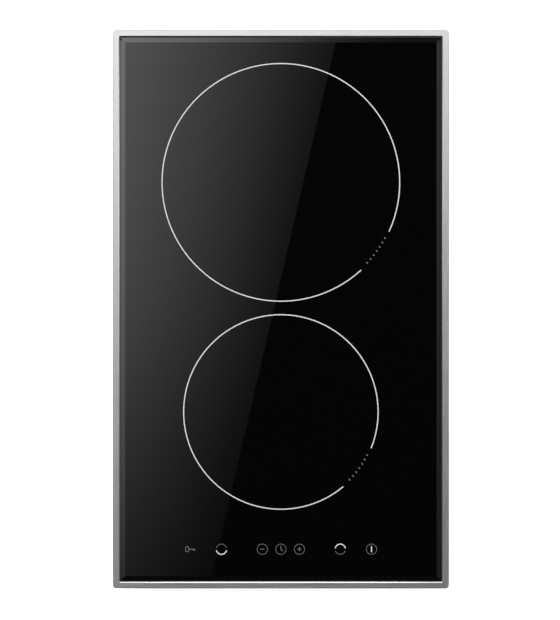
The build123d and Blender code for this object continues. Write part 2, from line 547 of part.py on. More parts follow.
def pan_beads(inset, height, mode):
    """Lengthwise stiffening beads pressed up from the pan's floor, in the open part."""
    with BuildSketch(Plane.XY.offset(FLOOR_Z)) as beads:
        with Locations((0, BEAD_Y)):
            with GridLocations(BEAD_PITCH, 1, BEADS, 1):
                SlotOverall(BEAD_L - 2 * inset, BEAD_W - 2 * inset, rotation=90)
    extrude(beads.sketch, amount=height, mode=mode)


def fan_grille():
    """Cuts the fan's inlet slots through the pan's floor."""
    with BuildSketch(Plane.XY.offset(FLOOR_Z)) as slots:
        with Locations((FAN_X, FAN_Y)):
            for row in (GRILLE_OUTER, GRILLE_INNER):
                with PolarLocations(row["r"], row["count"]):
                    SlotOverall(row["length"], VENT_W)
    extrude(slots.sketch, amount=PAN_T, mode=Mode.SUBTRACT)


def rear_openings():
    """Cuts the terminal opening, the slots of the cover's ears and the cable collar's hole."""
    y0, y1 = WALL_IN_Y - PAN_T, WALL_Y + PAN_T
    block(BAY_X0, BAY_X1, y0, y1, BAY_Z0, BAY_Z1, mode=Mode.SUBTRACT)
    for x in EAR_X:
        x0, x1 = x - EAR_PLAY, x + EAR_T + EAR_PLAY
        block(x0, x1, y0, y1, EAR_Z0 - EAR_PLAY, EAR_Z1 + EAR_PLAY, mode=Mode.SUBTRACT)
    with Locations((CABLE_X, WALL_Y, CABLE_Z)):
        hole_w, hole_h = 2 * (COLLAR_HALF_W + COLLAR_PLAY), 2 * (COLLAR_HALF_H + COLLAR_PLAY)
        Box(hole_w, 4 * PAN_T, hole_h, mode=Mode.SUBTRACT)


def make_base_pan():
    """Deep-drawn galvanised pan with pressed feet, vents, fan grille and terminal opening."""
    front = Plane(origin=(0, -WALL_Y, 0), x_dir=(1, 0, 0), z_dir=(0, -1, 0))
    rear = Plane(origin=(REAR_VENT_X, WALL_Y, 0), x_dir=(-1, 0, 0), z_dir=(0, 1, 0))
    right = Plane(origin=(PAN_W / 2, SIDE_VENT_Y, 0), x_dir=(0, 1, 0), z_dir=(1, 0, 0))
    left = Plane(origin=(-PAN_W / 2, SIDE_VENT_Y, 0), x_dir=(0, -1, 0), z_dir=(-1, 0, 0))
    with BuildPart() as pan:
        slab(PAN_W, PAN_D, PAN_CORNER_R, FLOOR_Z, PAN_TOP_Z)
        fillet(pan.faces().sort_by(Axis.Z)[0].edges(), radius=PAN_BOTTOM_R)
        offset(amount=-PAN_T, openings=pan.faces().sort_by(Axis.Z)[-1])
        for x, y in FOOT_PLACES:
            post(x, y, FOOT_R, 0, PAN_FLOOR_TOP)
            post(x, y, FOOT_R - PAN_T, PAN_T, PAN_FLOOR_TOP, mode=Mode.SUBTRACT)
        pan_beads(0, BEAD_H + PAN_T, Mode.ADD)
        pan_beads(PAN_T, BEAD_H, Mode.SUBTRACT)
        fan_grille()
        wall_slots(front, FRONT_VENTS, END_VENT_L, END_VENT_Z)
        wall_slots(rear, REAR_VENTS, END_VENT_L, END_VENT_Z)
        for side in (left, right):
            wall_slots(side, SIDE_VENTS, SIDE_VENT_L, SIDE_VENT_Z)
        rear_openings()
        for x, y, angle in TAB_PLACES:
            with Locations(Location((x, y, TAB_HOLE_Z), (0, 0, angle)) * Location((0, 0, 0), (0, 90, 0))):
                Cylinder(FIXING_R + THREAD_PLAY, 4 * PAN_T, mode=Mode.SUBTRACT)
    save(pan, "base_pan")


def make_carrier():
    """Aluminium plate that carries the coils, on six pillars."""
    with BuildPart() as pillars:
        for x, y in PILLAR_PLACES:
            post(x, y, PILLAR_R, PAN_FLOOR_TOP, CARRIER_Z)
            post(x, y, SCREW_R + THREAD_PLAY, CARRIER_Z - PILLAR_THREAD_L, CARRIER_Z, mode=Mode.SUBTRACT)
    save(pillars, "carrier_pillars")

    width, depth = PAN_W - 2 * CARRIER_GAP, PAN_D - 2 * CARRIER_GAP
    turn = 180 / CARRIER_WINDOWS
    with BuildPart() as plate:
        slab(width, depth, CARRIER_CORNER_R, CARRIER_Z, CARRIER_TOP)
        for x, y in PILLAR_PLACES:
            post(x, y, SCREW_R + HOLE_PLAY, CARRIER_Z, CARRIER_TOP, mode=Mode.SUBTRACT)
        for zone in ZONES.values():
            post(0, zone["y"], CARRIER_HUB_R, CARRIER_Z, CARRIER_TOP, mode=Mode.SUBTRACT)
            with BuildSketch(Plane.XY.offset(CARRIER_Z)):
                with Locations((0, zone["y"])):
                    with PolarLocations(zone["coil_r"] * WINDOW_SHARE, CARRIER_WINDOWS, turn):
                        SlotOverall(WINDOW_L, WINDOW_W)
            extrude(amount=CARRIER_T, mode=Mode.SUBTRACT)
        for zone in ZONES.values():
            for x, y in lead_drops(zone):
                centred(x, y, LEAD_SLOT_W, LEAD_SLOT_D, CARRIER_Z, CARRIER_TOP, mode=Mode.SUBTRACT)
        centred(0, CABLE_SLOT_Y, CABLE_SLOT_W, CABLE_SLOT_D, CARRIER_Z, CARRIER_TOP, mode=Mode.SUBTRACT)
    save(plate, "carrier_plate")


# ---------------------------------------------------------------- coils


def winding_path(zone):
    """Flat spiral of half circles about two centres half a pitch apart, so each meets the next."""
    with BuildLine(Plane.XY.offset(WINDING_Z)) as path:
        for i in range(2 * zone["turns"]):
            shift = WIRE_PITCH / 4 * (1 if i % 2 else -1)
            r = WINDING_IN_R + WIRE_PITCH / 2 * i
            CenterArc((shift, zone["y"]), r, 0 if i % 2 == 0 else 180, 180)
    return path.wire()


def lead_drops(zone):
    """Plan positions where the winding's inner and outer leads turn down."""
    last_r = WINDING_IN_R + WIRE_PITCH / 2 * (2 * zone["turns"] - 1)
    inner = (WINDING_IN_R - WIRE_PITCH / 4, zone["y"] - INNER_LEAD_RUN)
    outer = (last_r + WIRE_PITCH / 4, zone["y"] + OUTER_LEAD_RUN)
    return inner, outer


def spring_feet(zone):
    """Plan position and direction of each of the former's four sprung feet."""
    r = zone["coil_r"] - FORMER_FOOT_INSET
    return [(r * cos(radians(a)), zone["y"] + r * sin(radians(a)), a) for a in SPRING_ANGLES]


def make_coil_windings():
    """Two flat litz spirals, each with its inner and outer lead running down to the power board."""
    with BuildPart() as windings:
        for name, zone in ZONES.items():
            path = winding_path(zone)
            with BuildSketch(Plane(origin=path @ 0, z_dir=path % 0)) as section:
                Circle(WIRE_R)
            sweep(section.sketch, path=path)
            socket = SOCKETS[f"{name}_coil"]
            for (x, y), shift in zip(lead_drops(zone), LEAD_PAIR):
                points = [
                    (x, zone["y"], WINDING_Z),
                    (x, y, WINDING_Z),
                    (x, y, LEAD_Z),
                    (socket.x + shift, socket.y, LEAD_Z),
                    (socket.x + shift, socket.y, BOARD_TOP + SOCKET_FLOOR),
                ]
                wire(points, WIRE_R, LEAD_BEND_R)
    save(windings, "coil_windings")


def bar_pattern(zone, length_extra, width):
    """Radial rectangles under one coil, as a sketch on the ferrites' underside."""
    with BuildSketch(Plane.XY.offset(FORMER_Z - FERRITE_H)) as bars:
        with Locations((0, zone["y"])):
            with PolarLocations(zone["coil_r"] / 2 + BAR_OUTWARD, BARS, BAR_TURN):
                Rectangle(zone["coil_r"] - BAR_SHORTER + length_extra, width)
    return bars.sketch


def former_plate_sketch(zone):
    """Rim, hub and spokes of one former."""
    coil_r = zone["coil_r"]
    with BuildSketch(Plane.XY.offset(FORMER_Z)) as plate:
        with Locations((0, zone["y"])):
            Circle(coil_r)
            Circle(coil_r - FORMER_RIM_W, mode=Mode.SUBTRACT)
            Circle(FORMER_HUB_R)
            with PolarLocations(coil_r / 2, BARS, BAR_TURN):
                Rectangle(coil_r - FORMER_FOOT_R, SPOKE_W)
            Circle(SENSOR_R, mode=Mode.SUBTRACT)
    return plate.sketch


def make_coil_formers():
    """Two plastic formers: spoked plate, cheeks that hold the ferrite bars, and four feet."""
    with BuildPart() as formers:
        for zone in ZONES.values():
            y = zone["y"]
            extrude(former_plate_sketch(zone), amount=FORMER_T)
            extrude(bar_pattern(zone, 0, FERRITE_W + 2 * CHEEK_T), amount=FERRITE_H)
            pocket = bar_pattern(zone, 2 * BAR_END_PLAY, FERRITE_W)
            extrude(pocket, amount=FERRITE_H, mode=Mode.SUBTRACT)
            for foot_x, foot_y, _ in spring_feet(zone):
                post(foot_x, foot_y, FORMER_FOOT_R, FOOT_Z, FORMER_Z)
            # notches that let the two leads down
            (xi, yi), (xo, yo) = lead_drops(zone)
            block(xi - 2.3, xi + 2.3, yi - 3, y, FORMER_Z, FORMER_TOP, mode=Mode.SUBTRACT)
            block(xo - 3, xo + 9, y + 1, yo + 5, FORMER_Z, FORMER_TOP, mode=Mode.SUBTRACT)
    save(formers, "coil_formers")


def make_coil_inserts():
    """Ferrite bars, mica discs and temperature sensors of both coils."""
    with BuildPart() as ferrites:
        for zone in ZONES.values():
            extrude(bar_pattern(zone, 0, FERRITE_W), amount=FERRITE_H)
    save(ferrites, "ferrite_bars")

    with BuildPart() as discs:
        for zone in ZONES.values():
            post(0, zone["y"], zone["coil_r"], GLASS_Z - MICA_T, GLASS_Z)
            post(0, zone["y"], SENSOR_R, GLASS_Z - MICA_T, GLASS_Z, mode=Mode.SUBTRACT)
    save(discs, "mica_discs")

    with BuildPart() as sensors:
        for zone in ZONES.values():
            post(0, zone["y"], SENSOR_R, SENSOR_Z, FORMER_TOP)
            post(0, zone["y"], SENSOR_R - SENSOR_STEP, FORMER_TOP, GLASS_Z)
            post(0, zone["y"], SENSOR_BORE_R, SENSOR_Z, GLASS_Z - SENSOR_ROOF, mode=Mode.SUBTRACT)
    save(sensors, "temperature_sensors")


def make_coil_springs():
    """Arched strip springs between the carrier and each former's four feet."""
    low, high = SPRING_T / 2, FOOT_Z - CARRIER_TOP - SPRING_T / 2
    profile = [
        (-SPRING_END_X, low),
        (-SPRING_HEEL_X, low),
        (-SPRING_CROWN_X, high),
        (SPRING_CROWN_X, high),
        (SPRING_HEEL_X, low),
        (SPRING_END_X, low),
    ]
    with BuildPart() as springs:
        for zone in ZONES.values():
            for x, y, angle in spring_feet(zone):
                with BuildSketch(upright(x, y, CARRIER_TOP, angle + 90)):
                    with BuildLine():
                        run = Polyline(*profile)
                        offset(run, amount=SPRING_T / 2, kind=Kind.INTERSECTION)
                    make_face()
                extrude(amount=SPRING_W / 2, both=True)
    save(springs, "coil_springs")


# ---------------------------------------------------------------- fan


def fan_plan(inset, set_back=0.0):
    """Plan of the blower case: a round drum with a straight outlet duct towards -Y, as a sketch."""
    left = FAN_X - FAN_CASE_R
    y_end = FAN_DUCT_END - set_back
    with BuildSketch() as plan:
        with Locations((FAN_X, FAN_Y)):
            Circle(FAN_CASE_R - inset)
        with Locations((left + FAN_DUCT_W / 2, (y_end + FAN_Y) / 2)):
            Rectangle(FAN_DUCT_W - 2 * inset, FAN_Y - y_end)
    return plan.sketch


def make_fan_case():
    """Blower case with its screw lugs, and the flat cover."""
    with BuildPart() as case:
        with BuildSketch(Plane.XY.offset(FAN_CASE_Z)):
            add(fan_plan(0))
        extrude(amount=FAN_CASE_TOP - FAN_CASE_Z)
        with BuildSketch(Plane.XY.offset(FAN_CASE_Z + FAN_CASE_T)):
            add(fan_plan(FAN_CASE_T, FAN_DUCT_SET_BACK))
        extrude(amount=FAN_CASE_TOP - FAN_CASE_Z, mode=Mode.SUBTRACT)
        post(FAN_X, FAN_Y, FAN_INLET_R, 0, FAN_CASE_Z + FAN_CASE_T, mode=Mode.SUBTRACT)
        for x, y in FAN_SCREWS:
            post(x, y, FAN_LUG_R, PAN_FLOOR_TOP, FAN_CASE_TOP)
            low = FAN_CASE_TOP - PILLAR_THREAD_L
            post(x, y, SCREW_R + THREAD_PLAY, low, FAN_CASE_TOP, mode=Mode.SUBTRACT)
    save(case, "fan_case")

    with BuildPart() as cover:
        with BuildSketch(Plane.XY.offset(FAN_CASE_TOP)):
            add(fan_plan(0))
            with Locations(*FAN_SCREWS):
                Circle(FAN_LUG_R)
            with Locations(*FAN_SCREWS):
                Circle(SCREW_R + HOLE_PLAY, mode=Mode.SUBTRACT)
        extrude(amount=FAN_CASE_T)
    save(cover, "fan_cover")


def make_fan_wheel():
    """Bladed wheel with its hub, the magnet ring pressed into the hub, and the shaft."""
    top_disc, hub_floor = WHEEL_TOP - WHEEL_DISC_T, HUB_Z + HUB_T
    magnet_r, magnet_top = HUB_R - HUB_T, WHEEL_TOP - MAGNET_DROP
    with BuildPart() as wheel:
        post(FAN_X, FAN_Y, WHEEL_R, top_disc, WHEEL_TOP)
        post(FAN_X, FAN_Y, HUB_R, HUB_Z, WHEEL_TOP)
        post(FAN_X, FAN_Y, HUB_R - HUB_T, hub_floor, WHEEL_TOP, mode=Mode.SUBTRACT)
        post(FAN_X, FAN_Y, SHAFT_R, HUB_Z, hub_floor, mode=Mode.SUBTRACT)
        with BuildSketch(Plane.XY.offset(WHEEL_Z)):
            with Locations((FAN_X, FAN_Y)):
                Circle(WHEEL_R)
                Circle(WHEEL_R - WHEEL_RING_W, mode=Mode.SUBTRACT)
        extrude(amount=WHEEL_DISC_T)
        with BuildSketch(Plane.XY.offset(WHEEL_Z)):
            with Locations((FAN_X, FAN_Y)):
                with PolarLocations(WHEEL_R - BLADE_INSET, WHEEL_BLADES):
                    Rectangle(BLADE_L, BLADE_T, rotation=BLADE_TURN)
        extrude(amount=WHEEL_TOP - WHEEL_Z)
        # trims the blade tips to the wheel's rim
        with BuildSketch(Plane.XY.offset(WHEEL_Z)):
            with Locations((FAN_X, FAN_Y)):
                Circle(WHEEL_R + BLADE_L)
                Circle(WHEEL_R, mode=Mode.SUBTRACT)
        extrude(amount=WHEEL_TOP - WHEEL_Z, mode=Mode.SUBTRACT)
    save(wheel, "fan_wheel")

    with BuildPart() as magnet:
        post(FAN_X, FAN_Y, magnet_r, hub_floor, magnet_top)
        post(FAN_X, FAN_Y, magnet_r - MAGNET_T, hub_floor, magnet_top, mode=Mode.SUBTRACT)
    save(magnet, "fan_magnet_ring")

    with BuildPart() as shaft:
        post(FAN_X, FAN_Y, SHAFT_R, HUB_Z, SHAFT_TOP)
    save(shaft, "fan_shaft")


def make_fan_motor():
    """Bearing sleeve and the stator that hangs from the fan's cover."""
    with BuildPart() as bearing:
        post(FAN_X, FAN_Y, BEARING_R, BEARING_Z, BEARING_TOP)
        post(FAN_X, FAN_Y, SHAFT_R + SHAFT_PLAY, BEARING_Z, BEARING_TOP, mode=Mode.SUBTRACT)
    save(bearing, "fan_bearing")

    with BuildPart() as stator:
        with BuildSketch(Plane.XY.offset(STATOR_Z)):
            with Locations((FAN_X, FAN_Y)):
                Circle(STATOR_CORE_R)
                with PolarLocations(POLE_MID, STATOR_POLES, 45):
                    Rectangle(POLE_L, POLE_W)
                with PolarLocations(SHOE_MID, STATOR_POLES, 45):
                    Rectangle(SHOE_L, SHOE_W)
                Circle(STATOR_R, mode=Mode.INTERSECT)
        extrude(amount=STATOR_H)
        post(FAN_X, FAN_Y, SLEEVE_R, BEARING_Z, FAN_CASE_TOP)
        post(FAN_X, FAN_Y, FLANGE_R, FLANGE_Z, FAN_CASE_TOP)
        post(FAN_X, FAN_Y, BEARING_R, BEARING_Z, FLANGE_Z, mode=Mode.SUBTRACT)
    save(stator, "fan_stator")


# ---------------------------------------------------------------- power electronics


def make_board_and_tray():
    """Insulating tray on four posts, and the circuit board that lies in it."""
    inner_w, inner_d = BOARD_W + 2 * TRAY_GAP, BOARD_D + 2 * TRAY_GAP
    outer_w, outer_d = inner_w + 2 * TRAY_T, inner_d + 2 * TRAY_T
    floor = TRAY_Z + TRAY_T
    with BuildPart() as tray:
        centred(0, BOARD_MID_Y, outer_w, outer_d, TRAY_Z, TRAY_TOP)
        centred(0, BOARD_MID_Y, inner_w, inner_d, floor, TRAY_TOP, mode=Mode.SUBTRACT)
        for x, y in BOARD_SCREWS:
            post(x, y, TRAY_POST_R, PAN_FLOOR_TOP, BOARD_Z)
            post(x, y, SCREW_R + THREAD_PLAY, PAN_FLOOR_TOP + PAN_T, BOARD_Z, mode=Mode.SUBTRACT)
    save(tray, "board_tray")

    with BuildPart() as board:
        centred(0, BOARD_MID_Y, BOARD_W, BOARD_D, BOARD_Z, BOARD_TOP)
        for x, y in BOARD_SCREWS:
            post(x, y, SCREW_R + HOLE_PLAY, BOARD_Z, BOARD_TOP, mode=Mode.SUBTRACT)
    save(board, "power_board")


def make_heat_sink():
    """Finned aluminium heat sink with a thick wall, and the four transistors on that wall."""
    wall_x = SINK_X1 - SINK_WALL_T
    pitch = (wall_x - SINK_X0) / SINK_FINS
    with BuildPart() as sink:
        block(SINK_X0, SINK_X1, SINK_Y0, SINK_Y1, BOARD_TOP, BOARD_TOP + SINK_BASE_T)
        block(wall_x, SINK_X1, SINK_Y0, SINK_Y1, BOARD_TOP, SINK_TOP)
        for i in range(SINK_FINS):
            x = SINK_X0 + pitch * i
            block(x, x + FIN_T, SINK_Y0, SINK_Y1, BOARD_TOP + SINK_BASE_T, SINK_TOP)
    save(sink, "heat_sink")

    body_x = SINK_X1 + TRANSISTOR_T / 2
    leg_x = SINK_X1 + LEG_SET_BACK + LEG_T / 2
    body_z = BOARD_TOP + TRANSISTOR_LEGS_H
    with BuildPart() as transistors:
        for y in TRANSISTOR_Y:
            centred(body_x, y, TRANSISTOR_T, TRANSISTOR_W, body_z, body_z + TRANSISTOR_H)
            for leg in (-LEG_PITCH, 0, LEG_PITCH):
                centred(leg_x, y + leg, LEG_T, LEG_W, BOARD_TOP, body_z)
    save(transistors, "power_transistors")


def make_capacitors():
    """Film capacitors in box cases, and beaded electrolytic cans."""
    with BuildPart() as films:
        for part in FILM_CAPS:
            on_board(part)
        fillet(films.edges().filter_by(Axis.Z), radius=1.5)
        lids = films.faces().filter_by(Axis.Z).sort_by(Axis.Z)[-len(FILM_CAPS) :]
        fillet(lids.edges(), radius=0.8)
    save(films, "film_capacitors")

    bead_z0, bead_z1 = BOARD_TOP + CAN_BEAD_Z, BOARD_TOP + CAN_BEAD_Z + CAN_BEAD_W
    with BuildPart() as cans:
        for x, y in CAN_PLACES:
            post(x, y, CAN_R, BOARD_TOP, BOARD_TOP + CAN_H)
        fillet(cans.faces().filter_by(Axis.Z).group_by(Axis.Z)[-1].edges(), radius=0.8)
        for x, y in CAN_PLACES:
            post(x, y, CAN_R, bead_z0, bead_z1, mode=Mode.SUBTRACT)
            post(x, y, CAN_R - CAN_BEAD_DEPTH, bead_z0, bead_z1)
    save(cans, "electrolytic_capacitors")


def make_choke():
    """Ring-core choke with turns of thick wire on each half."""
    inner_r, mid_z = CHOKE_R - CHOKE_W, CHOKE_Z + CHOKE_H / 2
    with BuildPart() as core:
        post(CHOKE_X, CHOKE_Y, CHOKE_R, CHOKE_Z, CHOKE_Z + CHOKE_H)
        post(CHOKE_X, CHOKE_Y, inner_r, CHOKE_Z, CHOKE_Z + CHOKE_H, mode=Mode.SUBTRACT)
    save(core, "choke_core")

    first = -CHOKE_TURN_PITCH * (CHOKE_HALF_TURNS - 1) / 2
    turn_w, turn_h = CHOKE_W + 2 * CHOKE_WIRE, CHOKE_H + 2 * CHOKE_WIRE
    with BuildPart() as turns:
        for i in range(2 * CHOKE_HALF_TURNS):
            half, step = divmod(i, CHOKE_HALF_TURNS)
            angle = 180 * half + first + CHOKE_TURN_PITCH * step
            with BuildSketch(upright(CHOKE_X, CHOKE_Y, mid_z, angle)):
                with Locations((CHOKE_R - CHOKE_W / 2, 0)):
                    RectangleRounded(turn_w, turn_h, CHOKE_CORNER_R)
                    Rectangle(CHOKE_W + 2 * CHOKE_PLAY, CHOKE_H, mode=Mode.SUBTRACT)
            extrude(amount=CHOKE_WIRE / 2, both=True)
    save(turns, "choke_winding")


def make_board_parts():
    """Transformer, sockets, relay and fuse, and the small chips of the power board."""
    with BuildPart() as transformer:
        for size in (TRANSFORMER_CORE, TRANSFORMER_COIL, TRANSFORMER_BASE):
            z0, z1 = BOARD_TOP + size["z"], BOARD_TOP + size["top"]
            centred(TRANSFORMER_X, TRANSFORMER_Y, size["w"], size["d"], z0, z1)
    save(transformer, "supply_transformer")

    with BuildPart() as connectors:
        for socket in SOCKETS.values():
            on_board(socket)
            on_board(socket, SOCKET_WALL, SOCKET_FLOOR, mode=Mode.SUBTRACT)
    save(connectors, "board_connectors")

    with BuildPart() as relay:
        for part in RELAY_AND_FUSE:
            on_board(part)
        fillet(relay.edges().filter_by(Axis.Z), radius=0.8)
    save(relay, "relay_and_fuse")

    with BuildPart() as chips:
        for part in CHIPS:
            on_board(part)
    save(chips, "board_chips")


# ---------------------------------------------------------------- touch control unit


def make_control_bracket():
    """Plastic bracket on the carrier with a rim round the control board."""
    mid, depth = (CONTROL_Y0 + CONTROL_Y1) / 2, CONTROL_Y1 - CONTROL_Y0
    width = 2 * CONTROL_HALF_W
    rim_w, rim_d = width + 2 * BRACKET_RIM, depth + 2 * BRACKET_RIM
    rim_top = CONTROL_Z + BRACKET_RIM_H
    notch_y1 = CONTROL_Y1 + BRACKET_RIM
    with BuildPart() as bracket:
        centred(0, mid, rim_w, rim_d, CARRIER_TOP, rim_top)
        hole_w, hole_d = width - 2 * BRACKET_LEDGE, depth - 2 * BRACKET_LEDGE
        centred(0, mid, hole_w, hole_d, CARRIER_TOP, CONTROL_Z, mode=Mode.SUBTRACT)
        play_w, play_d = width + 2 * BRACKET_PLAY, depth + 2 * BRACKET_PLAY
        centred(0, mid, play_w, play_d, CONTROL_Z, rim_top, mode=Mode.SUBTRACT)
        for x in BRACKET_RIB_X:
            centred(x, mid, BRACKET_RIB_T, hole_d, CARRIER_TOP, CONTROL_Z)
        x0, x1 = -RIBBON_NOTCH_HALF_W, RIBBON_NOTCH_HALF_W
        y0 = CONTROL_Y1 - BRACKET_LEDGE
        block(x0, x1, y0, notch_y1, CONTROL_Z - RIBBON_NOTCH_H, rim_top, mode=Mode.SUBTRACT)
    save(bracket, "control_bracket")


def make_control_board():
    """Control board with foam touch pads and digit displays above it and small parts below."""
    pad_z = CONTROL_Z + BOARD_T
    with BuildPart() as board:
        block(-CONTROL_HALF_W, CONTROL_HALF_W, CONTROL_Y0, CONTROL_Y1, CONTROL_Z, pad_z)
    save(board, "control_board")

    with BuildPart() as pads:
        for x in KEY_X.values():
            post(x, KEY_ROW_Y, TOUCH_PAD_R, pad_z, GLASS_Z)
    save(pads, "touch_pads")

    with BuildPart() as digits:
        for x in (-DIGIT_X, DIGIT_X):
            centred(x, KEY_ROW_Y, DIGIT_W, DIGIT_D, pad_z, GLASS_Z - DIGIT_GAP)
        y = KEY_ROW_Y + TIMER_DIGIT_Y
        centred(0, y, TIMER_DIGIT_W, TIMER_DIGIT_D, pad_z, GLASS_Z - DIGIT_GAP)
    save(digits, "digit_displays")

    with BuildPart() as parts:
        size, z = PROCESSOR_W, CONTROL_Z - PROCESSOR_H
        centred(PROCESSOR_X, PROCESSOR_Y, size, size, z, CONTROL_Z)
        for x in RESISTOR_X:
            centred(x, PROCESSOR_Y, RESISTOR_W, RESISTOR_D, CONTROL_Z - RESISTOR_H, CONTROL_Z)
        z = CONTROL_Z - BUZZER_H
        post(BUZZER_X, PROCESSOR_Y, BUZZER_R, z, CONTROL_Z)
        post(BUZZER_X, PROCESSOR_Y, BUZZER_HOLE_R, z, z + BUZZER_HOLE_H, mode=Mode.SUBTRACT)
    save(parts, "control_parts")


def make_control_ribbon():
    """Ribbon from the control board through the carrier down to the power board."""
    top_z, low_z = CONTROL_Z - RIBBON_T / 2, BOARD_TOP + RIBBON_RUN_Z
    socket_y = SOCKETS["control"].y
    with BuildPart() as ribbon:
        with BuildLine(Plane.YZ) as run:
            FilletPolyline(
                (CONTROL_Y1 - RIBBON_OVERLAP, top_z),
                (CABLE_SLOT_Y, top_z),
                (CABLE_SLOT_Y, low_z),
                (socket_y, low_z),
                (socket_y, BOARD_TOP + SOCKET_FLOOR),
                radius=RIBBON_BEND_R,
            )
        with BuildSketch(Plane(origin=run.line @ 0, z_dir=run.line % 0, x_dir=(1, 0, 0))):
            Rectangle(RIBBON_W, RIBBON_T)
        sweep(path=run.line)
    save(ribbon, "control_ribbon")


# ---------------------------------------------------------------- terminal box


def terminal_ears():
    """The two hinge ears of the cover, through the pan's rear wall, in the open part."""
    for x in EAR_X:
        x1 = x + EAR_T
        block(x, x1, WALL_IN_Y - 2 * TERMINAL_T, WALL_Y, EAR_Z0, TERMINAL_Z1)
        block(x, x1, WALL_IN_Y - PAN_T, COVER_HINGE_Y, EAR_Z0, EAR_Z1)
        rod_x(COVER_HINGE_Y, COVER_HINGE_Z, EAR_R, x, x1)
        hole_r = COVER_PIN_R + COVER_PIN_PLAY
        rod_x(COVER_HINGE_Y, COVER_HINGE_Z, hole_r, x - EAR_T, x1 + EAR_T, mode=Mode.SUBTRACT)


def cable_collar():
    """The collar of the cable entry and the lower half of the cord clamp, in the open part."""
    left, right = CABLE_X - COLLAR_HALF_W, CABLE_X + COLLAR_HALF_W
    low, high = CABLE_Z - COLLAR_HALF_H, CABLE_Z + COLLAR_HALF_H
    block(left, right, WALL_IN_Y - PAN_T, WALL_Y + COLLAR_LIP, low, high)
    block(left, right, WALL_Y, WALL_Y + CRADLE_L, low, CABLE_Z - CRADLE_DROP)
    y0, y1 = WALL_Y - CABLE_BORE_L / 2, WALL_Y + CABLE_BORE_L / 2
    rod_y(CABLE_X, CABLE_Z, CABLE_R, y0, y1, mode=Mode.SUBTRACT)
    for x in CORD_SCREW_X:
        z0 = CLAMP_STRAP_TOP - CORD_SCREW_L - BEAD_H
        post(x, CORD_SCREW_Y, SCREW_R + THREAD_PLAY, z0, CABLE_Z, mode=Mode.SUBTRACT)


def make_terminal_box():
    """Plastic terminal box in the rear wall: bay, cord chamber, hinge ears and cable collar."""
    y0 = TERMINAL_Y0 + TERMINAL_T
    with BuildPart() as box:
        block(TERMINAL_X0, TERMINAL_X1, TERMINAL_Y0, WALL_IN_Y, TERMINAL_Z0, TERMINAL_Z1)
        block(BAY_X0, BAY_X1, y0, WALL_IN_Y, BAY_Z0, BAY_Z1, mode=Mode.SUBTRACT)
        x0, x1 = BAY_X1 + TERMINAL_T, TERMINAL_X1 - TERMINAL_T
        block(x0, x1, y0, CORD_CHAMBER_Y1, BAY_Z0, BAY_Z1, mode=Mode.SUBTRACT)
        x0, x1, door = BAY_X1 - TERMINAL_T, BAY_X1 + 2 * TERMINAL_T, CORD_DOOR
        block(x0, x1, door["y0"], door["y1"], door["z0"], door["z1"], mode=Mode.SUBTRACT)
        x0, x1, door = BAY_X0 + WIRE_DOOR["inset"], BAY_X1 - WIRE_DOOR["inset"], WIRE_DOOR
        low, high = TERMINAL_Y0 - TERMINAL_T, TERMINAL_Y0 + 2 * TERMINAL_T
        block(x0, x1, low, high, door["z0"], door["z1"], mode=Mode.SUBTRACT)
        terminal_ears()
        cable_collar()
    save(box, "terminal_box")


def make_terminal_cover():
    """Lift-up cover of the terminal bay, with its hinge pin, finger lip and ribs."""
    x0, x1 = BAY_X0 - COVER_LAP, BAY_X1 + COVER_LAP
    inner = WALL_Y + COVER_GAP
    outer = inner + COVER_T
    pin_out = EAR_T
    with BuildPart() as cover:
        block(x0, x1, inner, outer, BAY_Z0 - 2 * COVER_LAP, COVER_HINGE_Z - COVER_DROP)
        rod_x(COVER_HINGE_Y, COVER_HINGE_Z, COVER_BARREL_R, x0, x1)
        rod_x(COVER_HINGE_Y, COVER_HINGE_Z, COVER_PIN_R, x0 - pin_out, x1 + pin_out)
        lip_z, lip_x0 = BAY_Z0 + 2 * COVER_LAP, COVER_LIP_X - COVER_LIP_W / 2
        block(lip_x0, lip_x0 + COVER_LIP_W, outer, outer + COVER_LIP_L, lip_z, lip_z + COVER_LIP_H)
        for x in COVER_RIB_X:
            rib_x0, rib_x1 = x - COVER_RIB_T / 2, x + COVER_RIB_T / 2
            block(rib_x0, rib_x1, outer, outer + COVER_RIB_L, BAY_Z0 + TERMINAL_T, COVER_RIB_TOP)
    save(cover, "terminal_cover")


